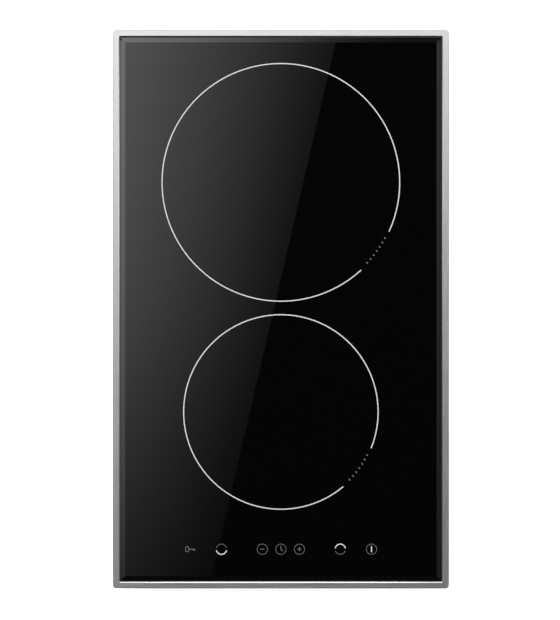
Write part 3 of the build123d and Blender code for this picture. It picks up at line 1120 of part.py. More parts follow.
def make_terminal_block():
    """Five-pole terminal block, the wire screws in it and the cord clamp's screws."""
    well_y = BLOCK_Y1 - POLE_WELL_L
    poles_x = [POLE_X0 + POLE_PITCH * i for i in range(POLES)]
    mouth = WIRE_MOUTH
    with BuildPart() as terminals:
        block(BLOCK_X0, BLOCK_X1, BLOCK_Y0, BLOCK_Y1, BLOCK_Z0, BLOCK_Z1)
        for x in poles_x:
            x0, x1 = x - mouth["half_w"], x + mouth["half_w"]
            block(x0, x1, mouth["y0"], BLOCK_Y1, mouth["z0"], mouth["z1"], mode=Mode.SUBTRACT)
            rod_y(x, POLE_SCREW_Z, POLE_WELL_R, well_y, BLOCK_Y1 + 1, mode=Mode.SUBTRACT)
    save(terminals, "terminal_block")

    head_y = well_y + POLE_SCREW_L
    slot_z = CLAMP_STRAP_TOP + SCREW_HEAD_H - POLE_SLOT_DEPTH
    with BuildPart() as screws:
        for x in poles_x:
            rod_y(x, POLE_SCREW_Z, POLE_SCREW_R, well_y, head_y)
            z0, z1 = POLE_SCREW_Z - POLE_SLOT_W / 2, POLE_SCREW_Z + POLE_SLOT_W / 2
            x0, x1 = x - POLE_WELL_R, x + POLE_WELL_R
            block(x0, x1, head_y - POLE_SLOT_DEPTH, head_y, z0, z1, mode=Mode.SUBTRACT)
        for x in CORD_SCREW_X:
            post(x, CORD_SCREW_Y, SCREW_R, CLAMP_STRAP_TOP - CORD_SCREW_L, CLAMP_STRAP_TOP)
            post(x, CORD_SCREW_Y, SCREW_HEAD_R, CLAMP_STRAP_TOP, CLAMP_STRAP_TOP + SCREW_HEAD_H)
            slot_top = slot_z + 2 * POLE_SLOT_DEPTH
            slot_l = 2 * SCREW_HEAD_R + POLE_SLOT_W
            centred(x, CORD_SCREW_Y, POLE_SLOT_W, slot_l, slot_z, slot_top, mode=Mode.SUBTRACT)
    save(screws, "terminal_screws")


def make_cord_clamp():
    """Saddle that presses the cord down into the collar's cradle."""
    x0, x1 = CABLE_X - COLLAR_HALF_W + STRAP_INSET, CABLE_X + COLLAR_HALF_W - STRAP_INSET
    y0, y1 = WALL_Y + STRAP_Y0, WALL_Y + STRAP_Y1
    with BuildPart() as saddle:
        block(x0, x1, y0, y1, CABLE_Z + STRAP_RISE, CLAMP_STRAP_TOP)
        rod_y(CABLE_X, CABLE_Z, CABLE_R, y0, y1, mode=Mode.SUBTRACT)
        for x in CORD_SCREW_X:
            top = CLAMP_STRAP_TOP + STRAP_RISE
            post(x, CORD_SCREW_Y, SCREW_R + HOLE_PLAY, CABLE_Z, top, mode=Mode.SUBTRACT)
        fillet(saddle.edges().filter_by(Axis.Y).group_by(Axis.Z)[-1], radius=STRAP_R)
    save(saddle, "cord_clamp")


# ---------------------------------------------------------------- wiring


def make_supply_wires():
    """Mains wires from the terminal block under the carrier to the power board."""
    socket = SOCKETS["mains"]
    run = SUPPLY_RUN
    with BuildPart() as mains:
        for i in range(SUPPLY_WIRES):
            x = POLE_X0 + POLE_PITCH * (SUPPLY_FIRST_POLE + i)
            x_end = socket.x + SUPPLY_SOCKET_PITCH * (i - (SUPPLY_WIRES - 1) / 2)
            points = [
                (x, BLOCK_Y0, run["exit_z"]),
                (x, run["out_y"], run["exit_z"]),
                (x, run["low_y"], run["low_z"]),
                (x_end, run["line_y"], run["low_z"]),
                (x_end, run["rise_y"], run["low_z"]),
                (x_end, run["over_y"], run["over_z"]),
                (x_end, socket.y, run["top_z"]),
                (x_end, socket.y, BOARD_TOP + SOCKET_FLOOR),
            ]
            wire(points, SUPPLY_WIRE_R, SUPPLY_BEND_R)
    save(mains, "supply_wires")


def make_signal_wires():
    """Sensor wires of both zones and the fan's wire, all ending in the board's sockets."""
    end_z = BOARD_TOP + SOCKET_FLOOR
    run_z = LEAD_Z - 1
    over = FAN_CASE_TOP + FAN_CASE_T + FAN_WIRE_R
    sensors, fan = SOCKETS["sensors"], SOCKETS["fan"]
    with BuildPart() as signals:
        for zone, shift in zip(ZONES.values(), SENSOR_PAIR):
            points = [
                (0, zone["y"], SENSOR_Z + SENSOR_DROP),
                (0, zone["y"], run_z),
                (sensors.x + shift, sensors.y, run_z),
                (sensors.x + shift, sensors.y, end_z),
            ]
            wire(points, SENSOR_WIRE_R, LEAD_BEND_R)
        points = [
            (FAN_X, FAN_Y - HUB_R / 2, over),
            (FAN_X + HUB_R, FAN_Y - WHEEL_R, over),
            (fan.x, fan.y, over),
            (fan.x, fan.y, end_z),
        ]
        wire(points, FAN_WIRE_R, LEAD_BEND_R)
    save(signals, "signal_wires")


# ---------------------------------------------------------------- fixings


def cross_slot(x, y, length, width, z0, z1):
    """Cuts a cross recess in an upright screw's head, in the open part."""
    centred(x, y, length, width, z0, z1, mode=Mode.SUBTRACT)
    centred(x, y, width, length, z0, z1, mode=Mode.SUBTRACT)


def make_inner_screws():
    """M3 screws of one kind: carrier to pillars, board to tray and fan cover to case."""
    places = [(x, y, CARRIER_TOP, INNER_SCREW_L) for x, y in PILLAR_PLACES]
    places += [(x, y, FAN_CASE_TOP + FAN_CASE_T, INNER_SCREW_L) for x, y in FAN_SCREWS]
    places += [(x, y, BOARD_TOP, BOARD_SCREW_L) for x, y in BOARD_SCREWS]
    with BuildPart() as screws:
        for x, y, z, length in places:
            top = z + SCREW_HEAD_H
            post(x, y, SCREW_R, z - length, z)
            post(x, y, SCREW_HEAD_R, z, top)
            cross_slot(x, y, SMALL_CROSS_L, SMALL_CROSS_W, top - CROSS_DEPTH, top)
    save(screws, "inner_screws")


def make_pan_screws():
    """M4 screws through the frame's tabs into the pan's walls."""
    seat = TAB_GAP + FRAME_T
    with BuildPart() as screws:
        for x, y, angle in TAB_PLACES:
            wall = facing(x, y, TAB_HOLE_Z, angle)
            with BuildSketch(wall.offset(-TAB_SCREW_L)):
                Circle(FIXING_R)
            extrude(amount=TAB_SCREW_L + seat)
            with BuildSketch(wall.offset(seat)):
                Circle(FIXING_HEAD_R)
            extrude(amount=FIXING_HEAD_H)
            with BuildSketch(wall.offset(seat + FIXING_HEAD_H - CROSS_DEPTH)):
                Rectangle(CROSS_L, CROSS_W)
                Rectangle(CROSS_W, CROSS_L)
            extrude(amount=CROSS_DEPTH, mode=Mode.SUBTRACT)
    save(screws, "pan_screws")


def make_clamp_brackets():
    """Four brackets welded to the pan's end walls, each with a lower and an upper ear."""
    half_plate, half_ear = CLAMP_PLATE_W / 2, CLAMP_EAR_W / 2
    top = CLAMP_EAR_HIGH + CLAMP_EAR_T
    with BuildPart() as brackets:
        for side_x, side_y in CLAMPS.values():
            x, y = side_x * CLAMP_PIVOT_X, side_y * (WALL_Y + CLAMP_OFFSET)
            y0, y1 = sorted((side_y * WALL_Y, side_y * (WALL_Y + CLAMP_PLATE_T)))
            block(x - half_plate, x + half_plate, y0, y1, CLAMP_EAR_LOW, top)
            y0, y1 = sorted((side_y * WALL_Y, side_y * (WALL_Y + CLAMP_EAR_L)))
            for z in (CLAMP_EAR_LOW, CLAMP_EAR_HIGH):
                block(x - half_ear, x + half_ear, y0, y1, z, z + CLAMP_EAR_T)
                post(x, y, FIXING_R + THREAD_PLAY, z, z + CLAMP_EAR_T, mode=Mode.SUBTRACT)
    save(brackets, "clamp_brackets")


def make_clamp(name, side_x, side_y):
    """One swivel clamp: a long screw driven from below and the toothed arm that it carries."""
    px, py = side_x * CLAMP_PIVOT_X, side_y * (WALL_Y + CLAMP_OFFSET)
    head_top = CLAMP_EAR_LOW - CLAMP_HEAD_GAP
    head_z = head_top - FIXING_HEAD_H
    with BuildPart() as screw:
        post(px, py, FIXING_R, head_top, CLAMP_EAR_HIGH + CLAMP_EAR_T + CLAMP_SCREW_RISE)
        post(px, py, FIXING_HEAD_R, head_z, head_top)
        cross_slot(px, py, CROSS_L, CROSS_W, head_z, head_z + CROSS_DEPTH)
    save(screw, f"{name}_clamp_screw")

    near, far = sorted((px, px + side_x * CLAMP_REACH))
    half, low = CLAMP_ARM_W / 2, CLAMP_ARM_TOP - CLAMP_ARM_T
    with BuildPart() as arm:
        block(near, far, py - half, py + half, low, CLAMP_ARM_TOP)
        tip = arm.edges().filter_by(Axis.Z).sort_by(Axis.X)
        fillet(tip[-2:] if side_x > 0 else tip[:2], radius=CLAMP_TIP_R)
        post(px, py, half, CLAMP_ARM_TOP - CLAMP_BOSS_H, CLAMP_ARM_TOP)
        for back in CLAMP_TOOTH_BACK:
            x, top = px + side_x * (CLAMP_REACH - back), CLAMP_ARM_TOP + CLAMP_TOOTH_H
            centred(x, py, CLAMP_TOOTH_W, CLAMP_TOOTH_L, CLAMP_ARM_TOP, top)
        post(px, py, FIXING_R + THREAD_PLAY, 0, CLAMP_ARM_TOP, mode=Mode.SUBTRACT)
    save(arm, f"{name}_clamp_arm")


def make_rating_plate():
    """Blank foil plate on the underside of the pan."""
    with BuildPart() as plate:
        with BuildSketch(Plane.XY.offset(FLOOR_Z - RATING_T)):
            with Locations((RATING_X, RATING_Y)):
                RectangleRounded(RATING_W, RATING_D, PILLAR_R / 2)
        extrude(amount=RATING_T)
    save(plate, "rating_plate")


make_trim_frame()
make_glass_and_prints()
make_seals()
make_base_pan()
make_carrier()
make_coil_windings()
make_coil_formers()
make_coil_inserts()
make_coil_springs()
make_fan_case()
make_fan_wheel()
make_fan_motor()
make_board_and_tray()
make_heat_sink()
make_capacitors()
make_choke()
make_board_parts()
make_control_bracket()
make_control_board()
make_control_ribbon()
make_terminal_box()
make_terminal_cover()
make_terminal_block()
make_cord_clamp()
make_supply_wires()
make_signal_wires()
make_inner_screws()
make_pan_screws()
make_clamp_brackets()
for clamp_name, (clamp_x, clamp_y) in CLAMPS.items():
    make_clamp(clamp_name, clamp_x, clamp_y)
make_rating_plate()
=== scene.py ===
"""Looks of the two-zone induction cooktop: finishes for every CAD node, studio, camera."""

import json
import math

import bpy
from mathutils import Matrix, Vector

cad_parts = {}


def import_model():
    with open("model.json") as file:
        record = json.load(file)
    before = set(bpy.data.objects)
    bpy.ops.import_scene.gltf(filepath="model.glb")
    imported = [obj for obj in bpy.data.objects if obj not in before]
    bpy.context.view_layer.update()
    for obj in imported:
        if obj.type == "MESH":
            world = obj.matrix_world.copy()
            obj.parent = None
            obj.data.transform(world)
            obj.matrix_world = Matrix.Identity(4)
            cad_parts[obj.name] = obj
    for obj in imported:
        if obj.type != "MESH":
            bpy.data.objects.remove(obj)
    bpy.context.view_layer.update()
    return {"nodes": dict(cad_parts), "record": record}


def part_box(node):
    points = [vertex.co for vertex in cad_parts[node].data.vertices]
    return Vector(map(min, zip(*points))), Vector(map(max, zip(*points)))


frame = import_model()

# ------------------------------------------------------------------ measures taken from the CAD

FRAME_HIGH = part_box("trim_frame")[1]
GLASS_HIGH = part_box("glass_plate")[1]
SEALANT_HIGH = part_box("glass_sealant")[1]
WIRES_LOW, WIRES_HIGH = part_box("supply_wires")
HALF_W, HALF_D, RAIL_TOP = FRAME_HIGH
GLASS_TOP = GLASS_HIGH[2]
OPEN_HALF_W, OPEN_HALF_D = SEALANT_HIGH[0], SEALANT_HIGH[1]

# ------------------------------------------------------------------ node helpers

MID = (0.3, 0.7)  # the span that holds nearly all of a noise's values


class Shader:
    """A material with one Principled shader, and short ways to wire textures into it."""

    def __init__(self, name, colour, roughness, metallic=0.0, **extra):
        self.material = bpy.data.materials.new(name)
        self.material.use_nodes = True
        self.tree = self.material.node_tree
        self.tree.nodes.clear()
        self.bsdf = self.node("ShaderNodeBsdfPrincipled")
        self.bsdf.inputs["Base Color"].default_value = (*colour, 1.0)
        self.bsdf.inputs["Roughness"].default_value = roughness
        self.bsdf.inputs["Metallic"].default_value = metallic
        for socket, value in extra.items():
            self.bsdf.inputs[socket.replace("_", " ")].default_value = value
        self.out = self.node("ShaderNodeOutputMaterial")
        self.link(self.bsdf.outputs[0], self.out.inputs["Surface"])

    def node(self, kind, **settings):
        made = self.tree.nodes.new(kind)
        for key, value in settings.items():
            setattr(made, key, value)
        return made

    def link(self, a, b):
        self.tree.links.new(a, b)

    def coords(self, stretch=(1, 1, 1)):
        """Object coordinates, stretched."""
        source = self.node("ShaderNodeTexCoord")
        mapping = self.node("ShaderNodeMapping")
        mapping.inputs["Scale"].default_value = stretch
        self.link(source.outputs["Object"], mapping.inputs["Vector"])
        return mapping.outputs[0]

    def position(self):
        """Separate x, y and z in metres."""
        source = self.node("ShaderNodeTexCoord")
        parts = self.node("ShaderNodeSeparateXYZ")
        self.link(source.outputs["Object"], parts.inputs[0])
        return parts.outputs

    def noise(self, scale, stretch=(1, 1, 1), detail=4.0):
        made = self.node("ShaderNodeTexNoise")
        made.inputs["Scale"].default_value = scale
        made.inputs["Detail"].default_value = detail
        made.inputs["Roughness"].default_value = 0.55
        self.link(self.coords(stretch), made.inputs["Vector"])
        return made.outputs["Fac"]

    def cells(self, scale):
        """A cell pattern: the distance inside each cell, and three random values for it."""
        made = self.node("ShaderNodeTexVoronoi", feature="F1")
        made.inputs["Scale"].default_value = scale
        self.link(self.coords(), made.inputs["Vector"])
        random = self.node("ShaderNodeSeparateColor")
        self.link(made.outputs["Color"], random.inputs[0])
        return made.outputs["Distance"], random.outputs

    def spread(self, value, span, out=(0.0, 1.0), smooth=False):
        """Maps a value from one span to another, clamped."""
        made = self.node("ShaderNodeMapRange", clamp=True)
        made.interpolation_type = "SMOOTHSTEP" if smooth else "LINEAR"
        sockets = ("From Min", "From Max", "To Min", "To Max")
        for socket, number in zip(sockets, (*span, *out)):
            made.inputs[socket].default_value = number
        self.link(value, made.inputs["Value"])
        return made.outputs[0]

    def math(self, operation, a, b=None):
        made = self.node("ShaderNodeMath", operation=operation)
        for slot, value in enumerate((a, b)):
            if value is None:
                continue
            if isinstance(value, (int, float)):
                made.inputs[slot].default_value = value
            else:
                self.link(value, made.inputs[slot])
        return made.outputs[0]

    def blend(self, factor, a, b):
        """Blends two colours, or two sockets, by a factor."""
        made = self.node("ShaderNodeMix", data_type="RGBA")
        self.link(factor, made.inputs["Factor"])
        for socket, value in ((made.inputs[6], a), (made.inputs[7], b)):
            if isinstance(value, tuple):
                socket.default_value = (*value, 1.0)
            else:
                self.link(value, socket)
        return made.outputs[2]

    def roughness(self, value):
        self.link(value, self.bsdf.inputs["Roughness"])

    def colour(self, value):
        self.link(value, self.bsdf.inputs["Base Color"])

    def vary_roughness(self, value, low, high, span=MID):
        """Roughness from low to high as a value goes over its span."""
        self.roughness(self.spread(value, span, (low, high)))

    def vary_colour(self, value, first, second, span=MID):
        """Colour from the first to the second as a value goes over its span."""
        self.colour(self.blend(self.spread(value, span), first, second))

    def relief(self, height, depth, strength=1.0):
        """A bump of this depth in metres."""
        made = self.node("ShaderNodeBump")
        made.inputs["Strength"].default_value = strength
        made.inputs["Distance"].default_value = depth
        self.link(height, made.inputs["Height"])
        self.link(made.outputs[0], self.bsdf.inputs["Normal"])


# ------------------------------------------------------------------ finishes

BRUSH_SCALE = 2600.0
BRUSH_STRETCH = 60  # length of a brush line over its width
POLISH_END = (0.0007, 0.0010)  # outwards from the opening, where the chamfer's polish ends
POLISH_FOOT = (0.0009, 0.0007)  # down from the rail's top, where it ends too
POLISHED_ROUGHNESS = 0.22
SHADED_EDGE_SPAN = (0.0, 0.0009)  # inwards from the frame's outside, where the rolled edge is painted darker as shade
SHADED_SKIRT_SPAN = (0.0012, 0.0008)  # down from the rail's top, below which the skirt is painted darker as shade
# how far the painted shade darkens the rolled edge and the skirt towards dark grey
PAINTED_SHADE_DEPTH = 0.8


def inwards(s, x, y):
    """Distances in from the frame's outer sides and from its outer ends."""
    from_side = s.math("SUBTRACT", HALF_W, s.math("ABSOLUTE", x))
    from_end = s.math("SUBTRACT", HALF_D, s.math("ABSOLUTE", y))
    return from_side, from_end


def rail_lines(s, from_side, from_end):
    """Brush lines that run along each rail of the frame and meet in a mitre at the corners."""
    fine, long = BRUSH_SCALE, BRUSH_SCALE / BRUSH_STRETCH
    along_y = s.noise(1.0, (fine, long, fine), detail=3.0)
    along_x = s.noise(1.0, (long, fine, fine), detail=3.0)
    mixed = s.node("ShaderNodeMix", data_type="FLOAT")
    s.link(s.math("LESS_THAN", from_side, from_end), mixed.inputs["Factor"])
    s.link(along_x, mixed.inputs[2])
    s.link(along_y, mixed.inputs[3])
    return mixed.outputs[0]


def frame_steel():
    """Brushed stainless steel with a polished inner chamfer, and painted shade that darkens the
    rolled outer edge and the skirt below the rail.
    """
    s = Shader("brushed_frame_steel", (0.66, 0.66, 0.66), 0.42, 1.0)
    x, y, z = s.position()
    from_side, from_end = inwards(s, x, y)
    lines = rail_lines(s, from_side, from_end)

    past_x = s.math("SUBTRACT", s.math("ABSOLUTE", x), OPEN_HALF_W)
    past_y = s.math("SUBTRACT", s.math("ABSOLUTE", y), OPEN_HALF_D)
    past_chamfer = s.spread(s.math("MAXIMUM", past_x, past_y), POLISH_END, smooth=True)
    below_chamfer = s.spread(z, [RAIL_TOP - down for down in POLISH_FOOT], (1.0, 0.0))
    brushed = s.math("MAXIMUM", past_chamfer, below_chamfer)
    rough = s.spread(lines, MID, (0.34, 0.5))
    polish = s.math("MULTIPLY", s.math("SUBTRACT", 1.0, brushed), POLISHED_ROUGHNESS)
    s.roughness(s.math("ADD", s.math("MULTIPLY", rough, brushed), polish))

    tone = s.blend(s.spread(lines, (0.25, 0.75)), (0.58, 0.58, 0.585), (0.74, 0.74, 0.735))
    # Painted shade: the rolled outer edge and the skirt below the rail's top are darkened towards a
    # dark grey.
    rolled = s.spread(s.math("MINIMUM", from_side, from_end), SHADED_EDGE_SPAN, (PAINTED_SHADE_DEPTH, 0.0))
    skirt_shade = s.spread(z, [RAIL_TOP - down for down in SHADED_SKIRT_SPAN], (PAINTED_SHADE_DEPTH, 0.0))
    tone = s.blend(s.math("MAXIMUM", rolled, skirt_shade), tone, (0.16, 0.16, 0.16))
    s.colour(s.blend(brushed, (0.86, 0.86, 0.86), tone))
    s.relief(s.math("MULTIPLY", lines, brushed), 0.00002, 0.5)
    return s


def black_glass():
    """Black glass-ceramic: mirror-smooth, with the faintest waviness of rolled glass."""
    s = Shader("black_glass", (0.0012, 0.0012, 0.0013), 0.015, IOR=1.5)
    s.relief(s.noise(9.0, detail=1.0), 0.000004, 0.3)
    return s


def enamel(name, tone):
    """Fired enamel print, very slightly grainy."""
    s = Shader(name, (tone,) * 3, 0.55, IOR=1.3)
    s.vary_colour(s.noise(9000.0), (0.94 * tone,) * 3, (1.06 * tone,) * 3)
    return s


def silicone():
    s = Shader("black_silicone", (0.018, 0.018, 0.019), 0.62)
    s.relief(s.noise(260.0, detail=2.0), 0.00008, 0.5)
    return s


def foam(name, colour):
    """Closed-cell foam with a pitted skin, the pits painted darker as shade."""
    s = Shader(name, colour, 0.95)
    pits, _ = s.cells(1400.0)
    s.relief(pits, 0.0002, 0.8)
    # painted shade: the colour darkens towards the bottom of each pit
    s.vary_colour(pits, tuple(0.45 * part for part in colour), colour, (0.0, 0.5))
    return s


def galvanised():
    """Galvanised sheet: interlocking spangles of slightly different brightness and gloss."""
    s = Shader("galvanised_sheet", (0.36, 0.37, 0.38), 0.42, 1.0)
    _, spangle = s.cells(150.0)
    tone = s.blend(spangle[0], (0.26, 0.268, 0.278), (0.42, 0.425, 0.432))
    handled = s.spread(s.noise(22.0, detail=6.0), (0.45, 0.75), (0.0, 0.35))
    s.colour(s.blend(handled, tone, (0.22, 0.225, 0.23)))
    s.vary_roughness(spangle[1], 0.3, 0.52, (0.0, 1.0))
    s.relief(spangle[2], 0.00001, 0.4)
    return s


def mill_aluminium():
    """Rolled sheet, with fine lines along x."""
    s = Shader("mill_aluminium", (0.78, 0.785, 0.79), 0.38, 1.0)
    lines = s.noise(1.0, (24.0, 1400.0, 1400.0), detail=3.0)
    s.vary_roughness(lines, 0.28, 0.46)
    s.relief(lines, 0.00001, 0.4)
    return s


def zinc_screw():
    """Zinc-plated steel with a faint blue passivation."""
    s = Shader("zinc_plated_steel", (0.46, 0.47, 0.49), 0.3, 1.0)
    haze = s.noise(340.0, detail=5.0)
    s.vary_colour(haze, (0.38, 0.395, 0.42), (0.52, 0.525, 0.52), (0.35, 0.7))
    s.vary_roughness(haze, 0.22, 0.4)
    return s


def plain_metal(name, colour, roughness, scale, low, high):
    """A metal whose gloss varies from place to place."""
    s = Shader(name, colour, roughness, 1.0)
    s.vary_roughness(s.noise(scale), low, high)
    return s


def litz():
    """Bundle of fine enamelled copper strands, the grooves painted darker as shade and the strands
    lighter as highlight.
    """
    s = Shader("litz_copper", (0.56, 0.25, 0.10), 0.38, 0.9)
    strands = s.noise(1.0, (2400.0, 2400.0, 2400.0), detail=2.0)
    # painted shade and highlight: the colour follows the bump, dark in the grooves and bright on the
    # strands
    s.vary_colour(strands, (0.34, 0.13, 0.05), (0.72, 0.36, 0.16), (0.35, 0.65))
    s.relief(strands, 0.00025, 0.9)
    return s


def plastic(name, colour, roughness=0.45):
    """Moulded plastic with a fine spark-eroded grain."""
    s = Shader(name, colour, roughness, IOR=1.48)
    grain = s.noise(2200.0, detail=3.0)
    s.relief(grain, 0.00003, 0.5)
    s.vary_roughness(grain, roughness - 0.06, roughness + 0.08)
    return s


def ferrite():
    s = Shader("ferrite", (0.055, 0.056, 0.06), 0.55)
    s.relief(s.noise(1500.0, detail=6.0), 0.00006, 0.7)
    return s


def mica():
    """Pressed mica sheet: pale, flaky, a little pearly."""
    s = Shader("mica_sheet", (0.60, 0.56, 0.46), 0.35, Sheen_Weight=0.2)
    _, flake = s.cells(420.0)
    s.colour(s.blend(flake[0], (0.50, 0.46, 0.36), (0.70, 0.66, 0.55)))
    s.vary_roughness(flake[1], 0.2, 0.5, (0.0, 1.0))
    return s


def laminate():
    """Green solder resist over copper tracks."""
    s = Shader("board_laminate", (0.015, 0.11, 0.045), 0.35, Coat_Weight=0.3)
    tracks = s.node("ShaderNodeTexBrick")
    tracks.inputs["Scale"].default_value = 60.0
    tracks.inputs["Mortar Size"].default_value = 0.03
    tracks.inputs["Color1"].default_value = (0.012, 0.10, 0.04, 1)
    tracks.inputs["Color2"].default_value = (0.02, 0.15, 0.06, 1)
    tracks.inputs["Mortar"].default_value = (0.006, 0.055, 0.022, 1)
    s.link(s.coords(), tracks.inputs["Vector"])
    s.colour(tracks.outputs["Color"])
    s.relief(tracks.outputs["Fac"], 0.00004, 0.5)
    return s


def stacked_laminations():
    """Thin electrical-steel sheets, seen as fine horizontal lines."""
    s = Shader("motor_laminations", (0.30, 0.31, 0.33), 0.45, 1.0)
    sheets = s.node("ShaderNodeTexWave", wave_type="BANDS", bands_direction="Z")
    sheets.inputs["Scale"].default_value = 320.0
    s.link(s.coords(), sheets.inputs["Vector"])
    s.relief(sheets.outputs["Fac"], 0.00008, 0.7)
    return s


def wire_jacket():
    """Brown and blue cores, told apart by where each wire lies."""
    s = Shader("core_jackets", (0.2, 0.08, 0.03), 0.4)
    first = WIRES_LOW[0] + (WIRES_HIGH[0] - WIRES_LOW[0]) / 3
    brown, blue = (0.16, 0.06, 0.025), (0.03, 0.10, 0.42)
    s.vary_colour(s.position()[0], brown, blue, (first, first + 0.0002))
    return s


def make_finishes():
    """The finish of each material slot in the record."""
    return {
        "brushed_steel": frame_steel(),
        "black_glass": black_glass(),
        "white_enamel": enamel("white_enamel", 0.42),
        "grey_enamel": enamel("grey_enamel", 0.095),
        "black_silicone": silicone(),
        "grey_foam": foam("grey_foam", (0.10, 0.10, 0.105)),
        "galvanised_steel": galvanised(),
        "aluminium": mill_aluminium(),
        "zinc_steel": zinc_screw(),
        "spring_steel": plain_metal("spring_steel", (0.42, 0.43, 0.45), 0.32, 500.0, 0.25, 0.42),
        "enamelled_copper": litz(),
        "former_plastic": plastic("heat_proof_plastic", (0.70, 0.68, 0.62), 0.5),
        "ferrite": ferrite(),
        "mica": mica(),
        "black_plastic": plastic("black_plastic", (0.022, 0.022, 0.024), 0.42),
        "white_plastic": plastic("white_plastic", (0.78, 0.77, 0.73), 0.38),
        "bronze": plain_metal("bronze", (0.55, 0.36, 0.17), 0.28, 700.0, 0.2, 0.4),
        "terminal_brass": plain_metal("terminal_brass", (0.74, 0.66, 0.45), 0.28, 700.0, 0.2, 0.4),
        "lamination_steel": stacked_laminations(),
        "board_laminate": laminate(),
        "yellow_film": plastic("film_capacitor_case", (0.62, 0.42, 0.05), 0.25),
        "transformer_tape": plastic("transformer_tape", (0.66, 0.52, 0.08), 0.35),
        "wire_jacket": wire_jacket(),
        "grey_jacket": plastic("grey_jacket", (0.42, 0.43, 0.45), 0.42),
    }


def dress():
    """Gives every CAD node the finish of its slot."""
    finishes = make_finishes()
    for entry in frame["record"]["subparts"]:
        node = frame["nodes"][entry["node"]]
        node.data.materials.clear()
        node.data.materials.append(finishes[entry["material_slot"]].material)


# ------------------------------------------------------------------ studio

CAMERA_HEIGHT = 2.6  # above the glass
CAMERA_SHIFT = (-0.0008, -0.0007)
VIEW_TALL = 0.5716  # metres of the frame's plane from the top to the bottom of the picture
SENSOR = 36.0

FLOOR_REACH = 30.0
FLOOR_GLOW = 0.3
WORLD_GLOW = 0.2
LAMPS = {
    "key": {"place": (-0.6, 1.2, 2.4), "size": 2.0, "watts": 96.0},
    "fill": {"place": (0.8, -1.0, 2.6), "size": 2.4, "watts": 62.0},
}

CARD_HEIGHT = 1.1  # above the glass
GLASS_REFLECTANCE = 0.04
CARD_MARGIN = 1.02
CARD_SPREAD = 1 + CARD_HEIGHT / CAMERA_HEIGHT  # a card's size over that of its mirror image

# The overhead card, in the plan of the frame: the line where its light stops, how the light
# grows away from that line, and how fast it grows at even steps from the front to the rear.
LINE_SLANT, LINE_OFFSET = 0.2321, -0.0066
GROWTH_POWER, GROWTH_START, GROWTH_FLOOR = 1.25, 0.0105, -0.0004
GROWTH_SPAN = (-0.25, 0.25)
GROWTH = (0.175, 0.26, 0.35, 0.455, 0.545, 0.575, 0.587, 0.58, 0.572)

# The cards round it: the ground bevel mirrors the middle ones, the rails the gaps between them
# and the overhead card, and the frame's inner chamfer the far ones. Brightness is given at even
# steps from front to rear, or from left to right on the rear and front cards.
BEVEL_VIEW = 29.9  # degrees off vertical
SIDE_SPAN = (-0.10, 0.22)  # from the point that the bevel mirrors
END_SPAN = (-0.06, 0.26)
END_HALF_W = 0.25
FRONT_HALF_W = 1.0
FAR_OUT = 3.2
LEFT_CARD = (0.5, 1.1, 1.7, 2.3, 2.8, 3.3, 3.8)
RIGHT_CARD = (0.25, 0.3, 0.4, 0.55, 0.7)
REAR_CARD = (4.4, 3.6, 2.8, 2.0, 1.2, 0.5, 0.18, 0.12, 0.12)
FRONT_CARD = (0.02, 0.02)
LEFT_FAR = (0.1, 0.14, 0.4, 0.8, 1.1)
RIGHT_FAR = (0.2, 0.25, 0.55, 1.1, 1.4)
REAR_FAR = (2.4, 2.6, 2.6, 2.8)
LEFT_GAP = (0.25, 0.3, 0.5, 0.75, 1.2, 1.5)
RIGHT_GAP = (0.2, 0.25, 0.4, 0.6, 0.9, 1.2)
REAR_GAP = (2.2, 2.2, 2.0)


def panel(name, half_w, half_d, location):
    """A flat rectangle for the studio."""
    mesh = bpy.data.meshes.new(name)
    corners = [(-half_w, -half_d, 0), (half_w, -half_d, 0), (half_w, half_d, 0), (-half_w, half_d, 0)]
    mesh.from_pydata(corners, [], [(0, 1, 2, 3)])
    made = bpy.data.objects.new(name, mesh)
    made.location = location
    bpy.context.collection.objects.link(made)
    return made


def glow(name):
    """An emission material: its shader helper, and the light's node."""
    s = Shader(name, (0, 0, 0), 1.0)
    light = s.node("ShaderNodeEmission")
    s.link(light.outputs[0], s.out.inputs["Surface"])
    s.tree.nodes.remove(s.bsdf)
    return s, light


def light_up(made, s):
    """Gives a card its glow. It shows in glossy surfaces and nowhere else."""
    made.data.materials.append(s.material)
    made.visible_camera = False
    made.visible_diffuse = False
    made.visible_transmission = False
    made.visible_volume_scatter = False
    made.visible_shadow = False


def stops(s, value, span, levels):
    """A piecewise-linear curve through evenly spaced levels."""
    made = s.node("ShaderNodeValToRGB")
    top = max(levels)
    ramp = made.color_ramp
    while len(ramp.elements) < len(levels):
        ramp.elements.new(0.5)
    for i, level in enumerate(levels):
        ramp.elements[i].position = i / (len(levels) - 1)
        ramp.elements[i].color = (level / top,) * 3 + (1.0,)
    s.link(s.spread(value, span), made.inputs["Fac"])
    return s.math("MULTIPLY", made.outputs[0], top)


def overhead_card():
    """Softbox above the glass: bright towards the rear left, cut off along a slanting edge."""
    x, y = (-shift * CARD_HEIGHT / CAMERA_HEIGHT for shift in CAMERA_SHIFT)
    half_w, half_d = HALF_W * CARD_MARGIN, HALF_D * CARD_MARGIN
    made = panel("overhead_card", half_w, half_d, (x, y, GLASS_TOP + CARD_HEIGHT))
    made.scale = (CARD_SPREAD, CARD_SPREAD, 1)
    s, light = glow("overhead_glow")
    x, y, _ = s.position()
    line = s.math("ADD", s.math("MULTIPLY", y, LINE_SLANT), LINE_OFFSET)
    inside = s.math("SUBTRACT", line, x)
    growth = stops(s, y, GROWTH_SPAN, GROWTH)
    depth = s.math("POWER", s.math("MAXIMUM", inside, 0.0), GROWTH_POWER)
    start = s.math("MULTIPLY", s.math("GREATER_THAN", inside, 0.0), GROWTH_START)
    seen = s.math("MULTIPLY", s.math("ADD", depth, start), growth)
    seen = s.math("ADD", seen, GROWTH_FLOOR)
    s.link(s.math("DIVIDE", seen, GLASS_REFLECTANCE), light.inputs["Strength"])
    light_up(made, s)


